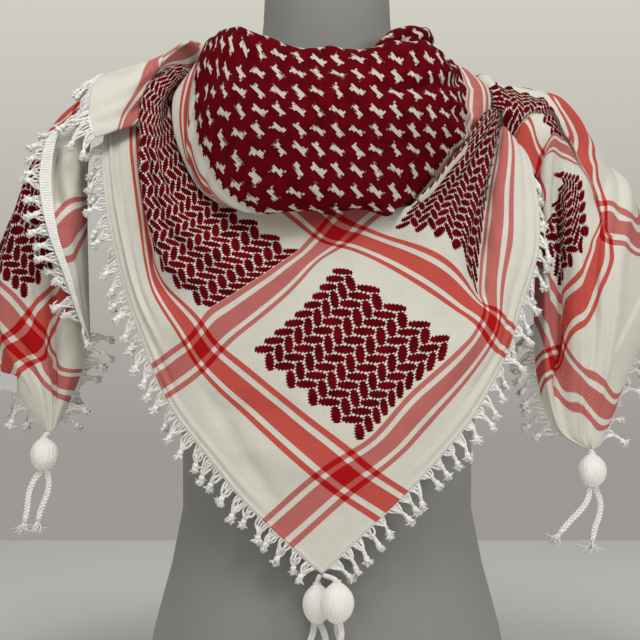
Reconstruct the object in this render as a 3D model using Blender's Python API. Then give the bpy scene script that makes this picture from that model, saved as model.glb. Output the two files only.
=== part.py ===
"""A keffiyeh headscarf on a limbless dress form.

One square of cotton is folded into a doubled triangle. Its point hangs over the chest, its folded edge
is gathered round the neck as a cowl, and its two ends cross behind the neck and hang over the shoulders.
Metres, +Z up, the front faces -Y, and the origin is the middle of the form's flat base.
"""
import math

import bmesh
import bpy
import numpy as np

# Driving sizes, in metres.
WALL = 0.0016          # the doubled cotton cloth
HEM_GAP = 0.0006       # between a cloth's edge and its hem strip
FREE_GAP = 0.0009      # the same where the edge curves more
TAPE_WIDTH = 0.0035    # the hem strip that carries a fringe
TAPE_WALL = 0.0016
LOCK_WIDTH = 0.0065    # one knotted bundle of the fringe, at its root
LOCK_PITCH = 0.0145
LOCK_LENGTH = 0.0155
TASSEL_SIDES = 8

# Stripe and block lines of the flat cloth: millimetres from its left hem (p) and its right hem (q).
P_BAND, P_BAND_2 = 70, 235
Q_BAND, Q_BAND_2 = 45, 199

# Front elevation grid. Shapes are drawn as (across, down, depth): grid steps across and down, as they look
# from VIEW metres in front of the form's centre plane, and millimetres in front of that plane.
GRID = 0.00086
CENTRE, FLOOR = 327, 720
EYE_ACROSS, EYE_DOWN = 320, 320
VIEW = 1.35


def place(points):
    """World places of (across, down, depth) rows."""
    across, down, depth = np.asarray(points, float).reshape(-1, 3).T
    near = 1 - depth * 0.001 / VIEW
    x = (EYE_ACROSS - CENTRE + (across - EYE_ACROSS) * near) * GRID
    z = (FLOOR - EYE_DOWN - (down - EYE_DOWN) * near) * GRID
    return np.stack([x, -depth * 0.001, z], 1)


# ---------------------------------------------------------------- surfaces
def bending_kernel(a, b):
    squared = ((a[:, None] - b[None]) ** 2).sum(2) + 1e-12
    return 0.5 * squared * np.log(squared)


def drape(marks, softness=0.0002):
    """The smooth sheet that carries each landmark of the flat cloth to its place.

    A landmark is (u, v, across, down, depth).
    """
    marks = np.asarray(marks, float)
    flat = marks[:, :2] / 100
    count = len(flat)
    system = np.zeros((count + 3, count + 3))
    system[:count, :count] = bending_kernel(flat, flat) + softness * np.eye(count)
    system[:count, count] = system[count, :count] = 1
    system[:count, count + 1:] = flat
    system[count + 1:, :count] = flat.T
    goal = np.vstack([place(marks[:, 2:]), np.zeros((3, 3))])
    weights = np.linalg.solve(system, goal)

    def surface(points):
        points = np.asarray(points, float) / 100
        shape = points.shape[:-1]
        points = points.reshape(-1, 2)
        out = bending_kernel(points, flat) @ weights[:count]
        out += weights[count] + points @ weights[count + 1:]
        return out.reshape(*shape, 3)

    return surface


def spline_matrix(count, at):
    """Rows that blend evenly spaced values by a Catmull-Rom spline at the places 0 to count - 1."""
    out = np.zeros((len(at), count))
    for row, t in enumerate(at):
        k = min(int(t), count - 2)
        f = t - k
        square, cube = f * f, f ** 3
        blend = (-f + 2 * square - cube, 2 - 5 * square + 3 * cube, f + 4 * square - 3 * cube, cube - square)
        for step, weight in zip((-1, 0, 1, 2), blend):
            j = k + step
            if j < 0:
                out[row, 0] += weight
                out[row, 0] += weight
                out[row, 1] -= weight
            elif j >= count:
                out[row, -1] += 2 * weight
                out[row, -2] -= weight
            else:
                out[row, j] += weight
    return out / 2


def drawn(sections):
    """The world places of a table of sections, each a row of (across, down, depth)."""
    return np.stack([place(row) for row in sections])


def loft(net):
    """The smooth sheet through a net of places, a row for each section; u and v run 0 to 1."""
    rows, columns = net.shape[:2]

    def surface(points):
        points = np.asarray(points, float)
        shape = points.shape[:-1]
        points = points.reshape(-1, 2)
        by_column = spline_matrix(columns, np.clip(points[:, 0], 0, 1) * (columns - 1))
        by_row = spline_matrix(rows, np.clip(points[:, 1], 0, 1) * (rows - 1))
        return np.einsum("nr,nc,rcd->nd", by_row, by_column, net).reshape(*shape, 3)

    return surface


def normals(surface, points, step):
    """Unit normals of a surface, towards the front of the cloth."""
    along_u = surface(points + (step, 0)) - surface(points - (step, 0))
    along_v = surface(points + (0, step)) - surface(points - (0, step))
    found = np.cross(along_u, along_v)
    return found / np.linalg.norm(found, axis=-1, keepdims=True)


def lattice(us, vs):
    """The flat points where two sets of lines cross."""
    return np.stack(np.meshgrid(np.array(us, float), np.array(vs, float)), -1)


def grid(u_from, u_to, v_from, v_to, u_count, v_count):
    """A rectangle of flat points; an end may be a number or a function of the share along the other way."""
    share_u, share_v = np.meshgrid(np.linspace(0, 1, u_count + 1), np.linspace(0, 1, v_count + 1))
    low = u_from(share_v) if callable(u_from) else u_from
    high = u_to(share_v) if callable(u_to) else u_to
    return np.stack([low + (high - low) * share_u, v_from + (v_to - v_from) * share_v], -1)


# ---------------------------------------------------------------- solids
def material(name, colour, roughness):
    made = bpy.data.materials.get(name)
    if made is None:
        made = bpy.data.materials.new(name)
        made.use_nodes = True
        shader = made.node_tree.nodes["Principled BSDF"]
        shader.inputs["Base Color"].default_value = (*colour, 1)
        shader.inputs["Roughness"].default_value = roughness
        shader.inputs["Metallic"].default_value = 0
    return made


def cotton():
    return material("printed_cotton", (0.52, 0.07, 0.08), 0.85)


def white_thread():
    return material("white_thread", (0.86, 0.84, 0.78), 0.8)


def form_cover():
    return material("grey_jersey", (0.27, 0.28, 0.28), 0.9)


def label_tape():
    return material("label_tape", (0.6, 0.6, 0.62), 0.6)


def solid(name, points, faces, look):
    """One closed body with its faces pointing out."""
    mesh = bpy.data.meshes.new(name)
    mesh.from_pydata([tuple(p) for p in points], [], faces)
    built = bmesh.new()
    built.from_mesh(mesh)
    bmesh.ops.recalc_face_normals(built, faces=built.faces)
    if built.calc_volume(signed=True) < 0:
        bmesh.ops.reverse_faces(built, faces=built.faces)
    built.to_mesh(mesh)
    built.free()
    mesh.shade_smooth()
    mesh.set_sharp_from_angle(angle=math.radians(50))
    mesh.materials.append(look)
    made = bpy.data.objects.new(name, mesh)
    bpy.context.scene.collection.objects.link(made)
    return made


def cloth(name, middle, facing, wall=WALL):
    """A wall of cloth round a grid of middle points, with the normals there."""
    rows, columns = middle.shape[:2]
    half = facing * wall / 2
    points = np.concatenate([(middle + half).reshape(-1, 3), (middle - half).reshape(-1, 3)])
    behind = rows * columns
    index = np.arange(behind).reshape(rows, columns)
    faces = []
    for r in range(rows - 1):
        for c in range(columns - 1):
            quad = [int(i) for i in (index[r, c], index[r, c + 1], index[r + 1, c + 1], index[r + 1, c])]
            faces.append(quad)
            faces.append([i + behind for i in reversed(quad)])
    rim = [*index[0, :], *index[1:, -1], *index[-1, -2::-1], *index[-2:0:-1, 0]]
    for here, after in zip(rim, rim[1:] + rim[:1]):
        faces.append([int(i) for i in (after, here, here + behind, after + behind)])
    return solid(name, points, faces, cotton())


def stretch(name, surface, flat, step=1.0):
    """One stretch of the cloth: its flat points, carried by a surface."""
    return cloth(name, surface(flat), normals(surface, flat, step))


def rings(name, loops, look):
    """A closed body through a stack of loops, with flat ends."""
    loops = np.asarray(loops)
    count, sides = loops.shape[:2]
    faces = [list(range(sides)), [(count - 1) * sides + i for i in range(sides)]]
    for k in range(count - 1):
        for i in range(sides):
            j = (i + 1) % sides
            faces.append([k * sides + i, k * sides + j, (k + 1) * sides + j, (k + 1) * sides + i])
    return solid(name, loops.reshape(-1, 3), faces, look)


def unit(vectors):
    return vectors / np.linalg.norm(vectors, axis=-1, keepdims=True)


# ---------------------------------------------------------------- dress form
# Sections of the form: height, half width, half depth, how far its middle lies back, squareness.
FORM_SECTIONS = (
    (0, 158, 112, 2, 2.3),
    (8, 161, 114, 2, 2.3),
    (69, 151, 108, 0, 2.2),
    (140, 132, 96, -2, 2.2),
    (205, 122, 90, -4, 2.2),
    (290, 130, 98, -4, 2.2),
    (370, 150, 104, -2, 2.3),
    (430, 169, 92, 6, 2.5),
    (468, 175, 76, 12, 2.5),
    (496, 163, 65, 15, 2.4),
    (514, 138, 59, 17, 2.3),
    (532, 104, 55, 18, 2.2),
    (550, 75, 54, 16, 2.1),
    (566, 60, 54, 14, 2.0),
    (600, 55, 54, 12, 2.0),
    (640, 53, 54, 10, 2.0),
    (656, 50, 51, 10, 2.0),
    (664, 42, 43, 10, 2.0),
)
FORM_SIDES = 36
FORM_RINGS = 24


def form_loop(height, half_width, half_depth, back, square):
    turn = np.linspace(0, 2 * math.pi, FORM_SIDES, endpoint=False)
    x = half_width * np.sign(np.cos(turn)) * np.abs(np.cos(turn)) ** (2 / square)
    y = back + half_depth * np.sign(np.sin(turn)) * np.abs(np.sin(turn)) ** (2 / square)
    return np.stack([x, y, np.full(FORM_SIDES, height)], 1) * 0.001


def dress_form():
    table = np.array(FORM_SECTIONS, float)
    upright = spline_matrix(len(table), np.linspace(0, len(table) - 1, FORM_RINGS)) @ table
    return rings("dress_form", [form_loop(*row) for row in upright], form_cover())


# ---------------------------------------------------------------- front panel and side folds
# Lines of the flat cloth across the left side, in millimetres from the left hem.
LEFT_LINES = {"hem": 0, "margin": 40, "stripe": 62, "tuck": 80,
              "edge": 97, "crest": 125, "slope": 160, "valley": 193}
# One row for each distance from the right hem: (across, down, depth) on each of those lines.
LEFT_SECTIONS = {
    216: ((151, 363, 98), (174, 346, 106), (186, 337, 110), (197, 324, 112),
          (207, 310, 114), (233, 293, 118), (266, 272, 120), (297, 252, 120)),
    258: ((131, 308, 93), (149, 303, 99), (158, 294, 99), (164, 286, 95),
          (167, 274, 104), (187, 258, 114), (218, 240, 114), (250, 221, 106)),
    300: ((119, 266, 88), (137, 262, 94), (147, 255, 92), (153, 250, 86),
          (150, 228, 99), (163, 222, 109), (188, 212, 106), (210, 196, 90)),
    345: ((108, 215, 82), (128, 212, 87), (141, 205, 84), (147, 200, 76),
          (139, 172, 92), (150, 170, 103), (168, 166, 95), (185, 156, 74)),
    388: ((103, 160, 70), (121, 156, 74), (135, 150, 72), (143, 146, 62),
          (139, 118, 82), (148, 117, 92), (160, 118, 84), (168, 110, 60)),
    415: ((106, 128, 54), (122, 124, 58), (135, 118, 56), (143, 112, 50),
          (146, 89, 68), (156, 90, 78), (167, 94, 68), (174, 88, 48)),
    450: ((118, 102, 26), (132, 97, 30), (143, 92, 30), (152, 88, 28),
          (176, 67, 44), (182, 70, 50), (187, 74, 44), (190, 74, 34)),
}
# The right side in the same way, with lines from the right hem and a row for each distance from the left hem.
RIGHT_LINES = {"hem": 0, "margin": 22, "stripe": 45, "tuck": 62,
               "crest": 90, "slope": 125, "edge": 166, "under": 185}
RIGHT_SECTIONS = {
    235: ((510, 343, 88), (501, 333, 95), (492, 322, 100), (482, 312, 102),
          (463, 298, 108), (427, 270, 117), (375, 246, 121), (352, 238, 121)),
    270: ((521, 306, 82), (508, 295, 88), (491, 284, 92), (478, 294, 90),
          (462, 250, 108), (434, 226, 118), (398, 222, 124), (381, 214, 117)),
    310: ((537, 255, 76), (520, 245, 82), (494, 238, 84), (483, 240, 78),
          (468, 215, 101), (447, 193, 118), (421, 196, 133), (424, 204, 124)),
    350: ((538, 205, 66), (520, 198, 72), (498, 190, 76), (489, 195, 70),
          (478, 180, 92), (464, 164, 110), (447, 167, 127), (450, 176, 118)),
    390: ((528, 158, 50), (518, 152, 56), (504, 146, 60), (497, 150, 56),
          (492, 138, 76), (484, 128, 90), (470, 139, 108), (474, 148, 98)),
    415: ((518, 136, 34), (512, 131, 38), (505, 126, 42), (501, 128, 42),
          (499, 118, 56), (493, 108, 68), (482, 121, 86), (486, 130, 76)),
}
# Places on the flat cloth between and below the sides: from left hem, from right hem, across, down, depth.
PANEL_MARKS = (
    (0, 0, 322, 574, 121),
    (0, 45, 277, 533, 118),
    (0, 85, 242, 499, 114),
    (0, 123, 210, 459, 108),
    (0, 174, 172, 408, 101),
    (70, 0, 393, 506, 117),
    (120, 0, 437, 460, 110),
    (165, 0, 473, 416, 102),
    (204, 0, 497, 373, 94),
    (P_BAND, Q_BAND, 345, 475, 124),
    (P_BAND, 89, 302, 439, 122),
    (P_BAND, 128, 264, 407, 118),
    (P_BAND, 160, 233, 381, 114),
    (P_BAND, Q_BAND_2, 201, 349, 110),
    (152, Q_BAND, 422, 406, 117),
    (189, Q_BAND, 456, 373, 109),
    (97, 62, 365, 440, 125),
    (193, 62, 455, 350, 112),
    (145, 114, 352, 352, 126),
    (97, 166, 250, 350, 118),
    (193, 166, 335, 265, 124),
    (110, Q_BAND_2, 233, 319, 116),
    (150, Q_BAND_2, 279, 284, 120),
    (P_BAND_2, Q_BAND_2, 335, 235, 121),
    (P_BAND_2, 240, 303, 208, 112),
    (275, 262, 335, 178, 102),
    (275, 215, 358, 190, 110),
)
# Lines that the stretches share where they meet.
P_LINES = (0, 20, 40, 54, 66, 80, 97, 111, 125, 142, 160, 178, 196, 215, 235, 255, 275, 296)
Q_LINES = (0, 16, 32, 45, 54, 62, 76, 90, 107, 125, 145, 166, 185, 199, 216, 239, 262)
LEFT_Q_LINES = (280, 300, 322, 345, 366, 388, 402, 415)
LEFT_TOP_Q_LINES = (432, 450)
RIGHT_P_LINES = (310, 330, 350, 370, 390, 402, 415)
LEFT_TO_P = 196
CREASE_P, CREST_Q = 97, 166
FRONT_SEAM = 0.9


def front_marks():
    marks = list(PANEL_MARKS)
    for q, row in LEFT_SECTIONS.items():
        marks += [(p, q, *spot) for p, spot in zip(LEFT_LINES.values(), row)]
    for p, row in RIGHT_SECTIONS.items():
        marks += [(p, q, *spot) for q, spot in zip(RIGHT_LINES.values(), row)]
    return marks


def left_margin_points():
    """The stretch outside the left crease; its top edge falls away towards the crease."""
    flat = lattice([p for p in P_LINES if p <= CREASE_P], (Q_LINES[-1] + FRONT_SEAM, *LEFT_Q_LINES))
    fall = np.clip((flat[..., 0] - 45) / 35, 0, 1) * np.clip(flat[..., 1] - 366, 0, None)
    flat[..., 1] -= 0.3 * fall
    return flat


def panel_points():
    """The panel; its top edge falls away under the cowl, past the right fold's crest."""
    flat = lattice(P_LINES, Q_LINES)
    flat[..., -1, 0] -= 15 * np.clip((flat[..., -1, 1] - 166) / 19, 0, 1)
    return flat


def right_fold_points():
    """The stretch above the panel's right side, as far as its crest."""
    qs = [q for q in Q_LINES if q <= CREST_Q]
    flat = lattice(qs, (P_LINES[-1] + FRONT_SEAM, *RIGHT_P_LINES))[..., ::-1]
    flat[0, :, 0] += 2.5 * np.clip((flat[0, :, 1] - 145) / 21, 0, 1)
    return flat


def front_stretches(front):
    ridge_ps = [CREASE_P + FRONT_SEAM] + [p for p in P_LINES if CREASE_P < p <= LEFT_TO_P]
    stretch("front_panel", front, panel_points())
    stretch("left_margin", front, left_margin_points())
    ridge_qs = [Q_LINES[-1] + FRONT_SEAM, *LEFT_Q_LINES, *LEFT_TOP_Q_LINES]
    stretch("left_fold", front, lattice(ridge_ps, ridge_qs))
    stretch("right_fold", front, right_fold_points())


# ---------------------------------------------------------------- cowl
# Its own flat lines: a, millimetres to the right of the middle, and b, millimetres up from the bottom fold.
# Each row holds one b and (a, across, down, depth) along it.
COWL_SECTIONS = {
    0: ((-133, 236, 206, 108), (-91, 250, 210, 120), (-47, 267, 212, 131), (0, 330, 214, 137),
        (50, 393, 216, 131), (80, 426, 222, 114), (108, 448, 226, 96)),
    20: ((-153, 215, 200, 100), (-111, 224, 203, 114), (-67, 240, 203, 128), (0, 330, 191, 146),
         (40, 380, 192, 138), (65, 410, 193, 126), (95, 440, 196, 108), (125, 466, 204, 88)),
    38: ((-171, 198, 186, 94), (-129, 206, 190, 108), (-85, 222, 188, 124), (-40, 278, 167, 145),
         (0, 330, 166, 151), (50, 395, 166, 138), (80, 430, 166, 120), (110, 455, 165, 104),
         (146, 478, 170, 82)),
    62: ((-195, 180, 150, 84), (-153, 189, 154, 96), (-109, 201, 152, 114), (-60, 250, 136, 141),
         (0, 330, 135, 153), (50, 395, 135, 143), (80, 430, 136, 129), (117, 463, 138, 108),
         (141, 475, 139, 90), (170, 484, 142, 72)),
    86: ((-219, 173, 122, 74), (-177, 187, 123, 88), (-133, 196, 113, 107), (-80, 230, 104, 131),
         (-50, 265, 104, 143), (0, 330, 104, 150), (50, 395, 104, 143), (80, 430, 106, 129),
         (115, 456, 108, 110), (141, 465, 108, 94), (165, 478, 107, 88), (194, 490, 106, 66)),
    108: ((-241, 175, 94, 62), (-199, 190, 92, 76), (-155, 195, 75, 96), (-80, 228, 75, 121),
          (0, 330, 78, 139), (50, 395, 78, 132), (80, 430, 80, 119), (125, 456, 84, 98),
          (163, 464, 84, 82), (187, 475, 84, 74), (216, 486, 86, 54)),
    124: ((-257, 191, 72, 48), (-215, 198, 66, 62), (-170, 203, 50, 82), (-115, 216, 46, 102),
          (-80, 234, 48, 113), (-50, 265, 56, 121), (0, 330, 64, 127), (50, 395, 62, 121),
          (80, 428, 62, 112), (125, 448, 68, 94), (179, 458, 70, 74), (203, 466, 72, 62),
          (232, 474, 76, 42)),
    138: ((-200, 207, 46, 64), (-150, 212, 38, 78), (-115, 221, 31, 88), (-80, 238, 28, 96),
          (-50, 268, 38, 108), (0, 330, 47, 116), (50, 395, 42, 108), (80, 426, 42, 99),
          (110, 441, 52, 86), (150, 450, 60, 68), (200, 458, 66, 50)),
    152: ((-150, 218, 44, 62), (-115, 227, 36, 72), (-80, 243, 33, 80), (-50, 270, 43, 92),
          (0, 330, 54, 100), (50, 392, 49, 92), (80, 418, 48, 84), (110, 432, 58, 70),
          (150, 441, 66, 52)),
    176: ((-150, 220, 66, 56), (-80, 246, 62, 74), (0, 330, 80, 90), (60, 400, 76, 80), (120, 430, 78, 62)),
}
# Under the bottom fold the cloth lies on the front panel: a, and the panel's own lines there.
COWL_SEATS = ((-110, 212, 262), (-60, 236, 256), (0, 262, 226), (45, 270, 190))
COWL_SEAT_B = -22
COWL_TOP_B = 176


# Its side edges, both tucked away: b, the left edge's a, the right edge's a.
COWL_EDGES = ((-22, -114, 38), (0, -133, 48), (8, -141, 52), (14, -148, 62), (22, -156, 98), (34, -167, 142),
              (60, -193, 168), (90, -223, 198), (124, -257, 232), (138, -206, 200), (152, -152, 152),
              (176, -150, 122))


def cowl_edge(column):
    table = np.array(COWL_EDGES, float)

    def edge(share):
        return np.interp(COWL_SEAT_B + (COWL_TOP_B - COWL_SEAT_B) * share, table[:, 0], table[:, column])

    return edge


def lifted(surface, spot, height):
    """A surface's place and the way out of it, as an (across, down, depth) row."""
    flat = np.array(spot, float)
    x, y, z = surface(flat) + normals(surface, flat, 1.0) * height
    near = 1 + y / VIEW
    across = EYE_ACROSS + (x / GRID - (EYE_ACROSS - CENTRE)) / near
    down = EYE_DOWN + (FLOOR - EYE_DOWN - z / GRID) / near
    return across, down, -y * 1000


def cowl_surface(front):
    marks = [(a, b, *spot) for b, row in COWL_SECTIONS.items() for a, *spot in row]
    marks += [(a, COWL_SEAT_B, *lifted(front, spot, WALL + 0.0005)) for a, *spot in COWL_SEATS]
    return drape(marks)


def cowl(front):
    surface = cowl_surface(front)
    stretch("cowl", surface, grid(cowl_edge(1), cowl_edge(2), COWL_SEAT_B, COWL_TOP_B, 26, 16))


# ---------------------------------------------------------------- neck roll and back wraps
# The cloth's folded edge goes round the neck inside the cowl: turn from the front, half width, front or back
# reach, top height, bottom height.
ROLL_SECTIONS = (
    (0, 74, 80, 552, 522),
    (25, 80, 82, 562, 534),
    (45, 92, 84, 586, 552),
    (65, 96, 82, 588, 562),
    (90, 88, 74, 576, 562),
    (135, 86, 82, 578, 562),
    (180, 82, 84, 580, 562),
    (225, 86, 82, 578, 562),
    (270, 88, 74, 574, 560),
    (300, 86, 80, 570, 554),
    (330, 80, 82, 558, 534),
)


def neck_roll():
    """A closed collar of cloth: its sections are turned round the neck, and its last joins its first."""
    table = np.array(ROLL_SECTIONS, float)
    turns = 40
    wrapped = np.vstack([table[-2:] - (360, 0, 0, 0, 0), table, table[:2] + (360, 0, 0, 0, 0)])
    at = np.interp(np.linspace(0, 360, turns, endpoint=False), wrapped[:, 0], np.arange(len(wrapped)))
    rows = spline_matrix(len(wrapped), at) @ wrapped
    bulge = (0.0, 6.0, 9.0, 8.0, 0.0)
    heights = (0.0, 0.25, 0.55, 0.85, 1.0)
    outer = []
    for turn, wide, deep, top, bottom in rows:
        angle = math.radians(turn)
        way = np.array([math.sin(angle), -math.cos(angle)])
        for height, out in zip(heights, bulge):
            x, y = way * (wide + out - 8, deep + out - 8)
            outer.append((x, y + 8, bottom + (top - bottom) * height))
    outer = np.array(outer).reshape(turns, len(heights), 3) * 0.001
    around = unit(np.roll(outer, -1, 0) - np.roll(outer, 1, 0))
    upward = unit(np.gradient(outer, axis=1))
    facing = unit(np.cross(around, upward))
    front_side = outer + facing * WALL / 2
    back_side = outer - facing * WALL / 2
    points = np.concatenate([front_side.reshape(-1, 3), back_side.reshape(-1, 3)])
    levels = len(heights)
    behind = turns * levels
    faces = []
    for k in range(turns):
        n = (k + 1) % turns
        for i in range(levels - 1):
            quad = [k * levels + i, n * levels + i, n * levels + i + 1, k * levels + i + 1]
            faces.append(quad)
            faces.append([j + behind for j in reversed(quad)])
        for i in (0, levels - 1):
            faces.append([k * levels + i, n * levels + i, n * levels + i + behind, k * levels + i + behind])
    return solid("neck_roll", points, faces, cotton())


# Each end crosses the back from its own side of the neck to the other shoulder, in upright sections:
# x, y, top height, bottom height, bulge, and how far the top and bottom edges lean in, all in millimetres.
WRAP_OVER = (
    (-92, -20, 574, 560, 1, 0, 0),
    (-96, 24, 578, 560, 3, 2, 0),
    (-84, 68, 582, 556, 5, 6, 0),
    (-52, 101.4, 584, 542, 9, 10, 1),
    (-6, 112, 583, 500, 12, 14, 9.6),
    (44, 112, 578, 480, 13, 12, 16),
    (84, 98, 570, 488, 12, 8, 12),
)
WRAP_UNDER = (
    (92, -16, 572, 558, 1, 0, 0),
    (96, 24, 574, 557, 3, 2, 0),
    (82, 66, 574, 540, 5, 5, 0),
    (46, 90, 570, 510, 7, 3, 6),
    (0, 98, 560, 486, 7, 3, 11),
    (-46, 97, 540, 474, 6, 2, 11),
    (-88, 86, 539, 480, 6, 0, 4),
)
# Then it lies over that shoulder and hangs: a row for each section towards its hem, its columns from the
# inner front edge over the crest to the back.
RIGHT_SHOULDER = (
    ((487, 104, 27), (485, 92, 22), (480, 82, 10), (476, 78, -4), (472, 79, -22), (468, 84, -42),
     (463, 95, -62), (457, 110, -78), (450, 128, -88)),
    ((506, 120, 42), (503, 106, 37), (498, 93, 22), (494, 88, 4), (490, 88, -16), (486, 95, -38),
     (481, 108, -58), (476, 124, -72), (470, 142, -80)),
    ((521, 131, 52), (520, 116, 46), (517, 101, 32), (515, 93, 14), (513, 91, -8), (510, 97, -32),
     (506, 110, -50), (501, 128, -64), (496, 148, -70)),
    ((535, 140, 55), (536, 124, 51), (537, 108, 38), (538, 99, 18), (538, 97, -6), (536, 102, -28),
     (532, 116, -46), (527, 136, -57), (522, 158, -62)),
    ((545, 150, 50), (549, 132, 49), (554, 116, 38), (558, 108, 20), (560, 105, -4), (560, 110, -26),
     (557, 124, -42), (552, 146, -52), (548, 170, -56)),
)
RIGHT_TAIL = (
    ((542, 166, 42), (550, 156, 46), (560, 146, 38), (571, 136, 26), (580, 131, 2), (584, 136, -20),
     (583, 150, -36), (579, 170, -46), (574, 192, -50)),
    ((539, 200, 36), (548, 196, 42), (559, 192, 32), (574, 184, 36), (592, 172, 22), (604, 166, -4),
     (608, 172, -26), (606, 188, -38), (600, 208, -42)),
    ((537, 240, 33), (547, 238, 42), (559, 236, 30), (574, 232, 42), (591, 226, 36), (610, 214, 32),
     (630, 200, 8), (634, 206, -18), (628, 224, -32)),
    ((535, 282, 34), (546, 282, 43), (559, 282, 31), (575, 280, 44), (591, 278, 41), (606, 272, 44),
     (627, 262, 32), (646, 250, 4), (640, 262, -22)),
    ((534, 326, 35), (546, 326, 43), (559, 326, 33), (575, 326, 45), (592, 324, 43), (607, 322, 45),
     (627, 316, 36), (649, 308, 14), (646, 312, -8)),
    ((537, 378, 37), (547, 379, 43), (558, 381, 36), (574, 383, 44), (589, 384, 44), (601, 385, 42),
     (611, 385, 38), (621, 384, 30), (626, 378, 18)),
    ((552, 426, 39), (559, 428, 42), (567, 431, 40), (576, 433, 43), (585, 435, 43), (593, 435, 42),
     (600, 433, 40), (606, 429, 36), (609, 424, 31)),
    ((582, 447, 40), (585, 448, 41), (587, 449, 41), (590, 449, 41), (592, 449, 41), (594, 449, 41),
     (596, 448, 40), (598, 447, 40), (600, 446, 39)),
)
LEFT_SHOULDER = (
    ((168, 74, 30), (172, 66, 22), (182, 54, 12), (196, 46, 0), (202, 48, -20), (204, 60, -44),
     (204, 78, -68), (204, 100, -84), (204, 124, -92)),
    ((148, 90, 46), (152, 80, 42), (160, 66, 32), (172, 57, 16), (178, 56, -8), (180, 66, -36),
     (180, 84, -58), (180, 106, -72), (180, 132, -80)),
    ((137, 122.5, 71), (139.5, 101, 61), (142, 80, 50), (149, 66, 30), (154, 61, 4), (156, 68, -26),
     (156, 86, -48), (156, 110, -62), (156, 138, -70)),
    ((116, 131, 80), (115, 112, 74), (117, 90, 60), (124, 74, 40), (129, 69, 8), (131, 76, -20),
     (131, 92, -40), (131, 116, -54), (132, 144, -60)),
    ((95, 139, 80), (89, 120, 76), (91, 96, 64), (100, 79, 44), (105, 74, 10), (107, 80, -16),
     (107, 96, -36), (108, 120, -50), (110, 148, -56)),
)
# Under that hem the second layer of the same end goes on down.
LEFT_TAIL = (
    ((112, 118, 62), (112, 102, 56), (113, 89, 40), (115, 80, 18), (116, 79, -4), (117, 84, -22),
     (118, 98, -36), (118, 116, -46)),
    ((98, 122, 56), (92, 113, 52), (87, 106, 42), (82, 101, 26), (80, 100, 4), (82, 104, -16),
     (86, 116, -32), (90, 134, -42)),
    ((88, 142, 44), (76, 138, 43), (66, 135, 40), (58, 133, 34), (50, 135, 12), (52, 140, -10),
     (58, 150, -28), (64, 166, -38)),
    ((86, 180, 40), (70, 180, 45), (56, 181, 43), (42, 181, 45), (27, 183, 22), (26, 188, -6),
     (34, 196, -24), (42, 206, -34)),
    ((86, 236, 38), (70, 238, 46), (54, 240, 42), (34, 238, 47), (10, 240, 28), (2, 242, -2),
     (12, 246, -20), (22, 252, -28)),
    ((87, 292, 36), (72, 294, 46), (53, 296, 40), (30, 296, 47), (2, 294, 34), (-12, 292, 8),
     (-6, 292, -12), (6, 294, -20)),
    ((88, 346, 31), (72, 348, 43), (52, 348, 38), (32, 347, 45), (8, 344, 37), (-8, 340, 22), (-14, 336, 4),
     (-6, 334, -8)),
    ((76, 386, 32), (66, 388, 41), (54, 389, 38), (43, 390, 43), (31, 388, 41), (20, 385, 37),
     (12, 382, 32), (7, 380, 26)),
    ((54, 430, 36), (53, 431, 37), (52, 432, 37), (50, 433, 38), (49, 433, 38), (48, 432, 37),
     (47, 431, 37), (46, 430, 36)),
)
# The first layer turns back at the left tail's inner edge, so its own hem lies in front: columns from that
# hem to the turned edge.
LEFT_FLAP = (
    ((74, 122, 54), (79, 120, 58), (86, 122, 60), (92, 129, 58)),
    ((50, 140, 62), (62, 138, 64), (78, 139, 60), (90, 144, 51)),
    ((42, 172, 65), (56, 172, 66), (74, 173, 60), (87, 176, 43)),
    ((43, 202, 67), (57, 203, 66), (75, 204, 60), (87, 206, 42)),
    ((51, 236, 67), (62, 238, 66), (77, 239, 59), (87, 240, 40)),
    ((67, 279, 63), (74, 280, 62), (82, 281, 55), (88, 282, 38)),
    ((80, 318, 55), (83, 318, 54), (87, 319, 48), (89, 320, 37)),
    ((88, 343, 45), (89, 343, 43), (90, 344, 39), (90, 345, 34)),
)
SHOULDER_SHARE = 0.45


def upright_sections(table, columns):
    """Places across an upright band, from its top edge to its bottom edge, swelling away from the neck."""
    rows = []
    for x, y, top, bottom, bulge, top_lean, bottom_lean in table:
        way = unit(np.array([x, y - 10.0]))
        row = []
        for share in np.linspace(0, 1, columns):
            swell = bulge * math.sin(math.pi * share) - top_lean * (1 - share) ** 2 - bottom_lean * share ** 2
            row.append((x + way[0] * swell, y + way[1] * swell, top + (bottom - top) * share))
        rows.append(row)
    return np.array(rows) * 0.001


def sash(wrap, *hanging):
    """The surface of one end, from the side of the neck round the back and over the other shoulder."""
    over = drawn([row for table in hanging for row in table])
    return loft(np.concatenate([upright_sections(wrap, over.shape[1]), over]))


def shares(start, end, count):
    return np.linspace(start, end, count + 1)


INNER, OUTER = 0.004, 0.996
ACROSS = shares(INNER, OUTER, 9)
RIGHT_ROWS = len(WRAP_OVER) + len(RIGHT_SHOULDER) + len(RIGHT_TAIL) - 1
LEFT_ROWS = len(WRAP_UNDER) + len(LEFT_SHOULDER) - 1
RIGHT_WRAP_END = (len(WRAP_OVER) - SHOULDER_SHARE) / RIGHT_ROWS
RIGHT_SHOULDER_END = (RIGHT_ROWS - len(RIGHT_TAIL) + 0.5) / RIGHT_ROWS
LEFT_WRAP_END = (len(WRAP_UNDER) - SHOULDER_SHARE) / LEFT_ROWS
LOFT_SEAM = 0.0022
RIGHT_ACROSS = shares(INNER, OUTER, 16)
RIGHT_TAIL_DOWN = shares(RIGHT_SHOULDER_END + 3 * LOFT_SEAM, 0.998, 15)
LEFT_HEM = 0.996
LEFT_TAIL_ACROSS = shares(INNER, OUTER, 14)
LEFT_TAIL_DOWN = shares(INNER, OUTER, 16)
FLAP_DOWN = shares(INNER, OUTER, 14)


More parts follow.
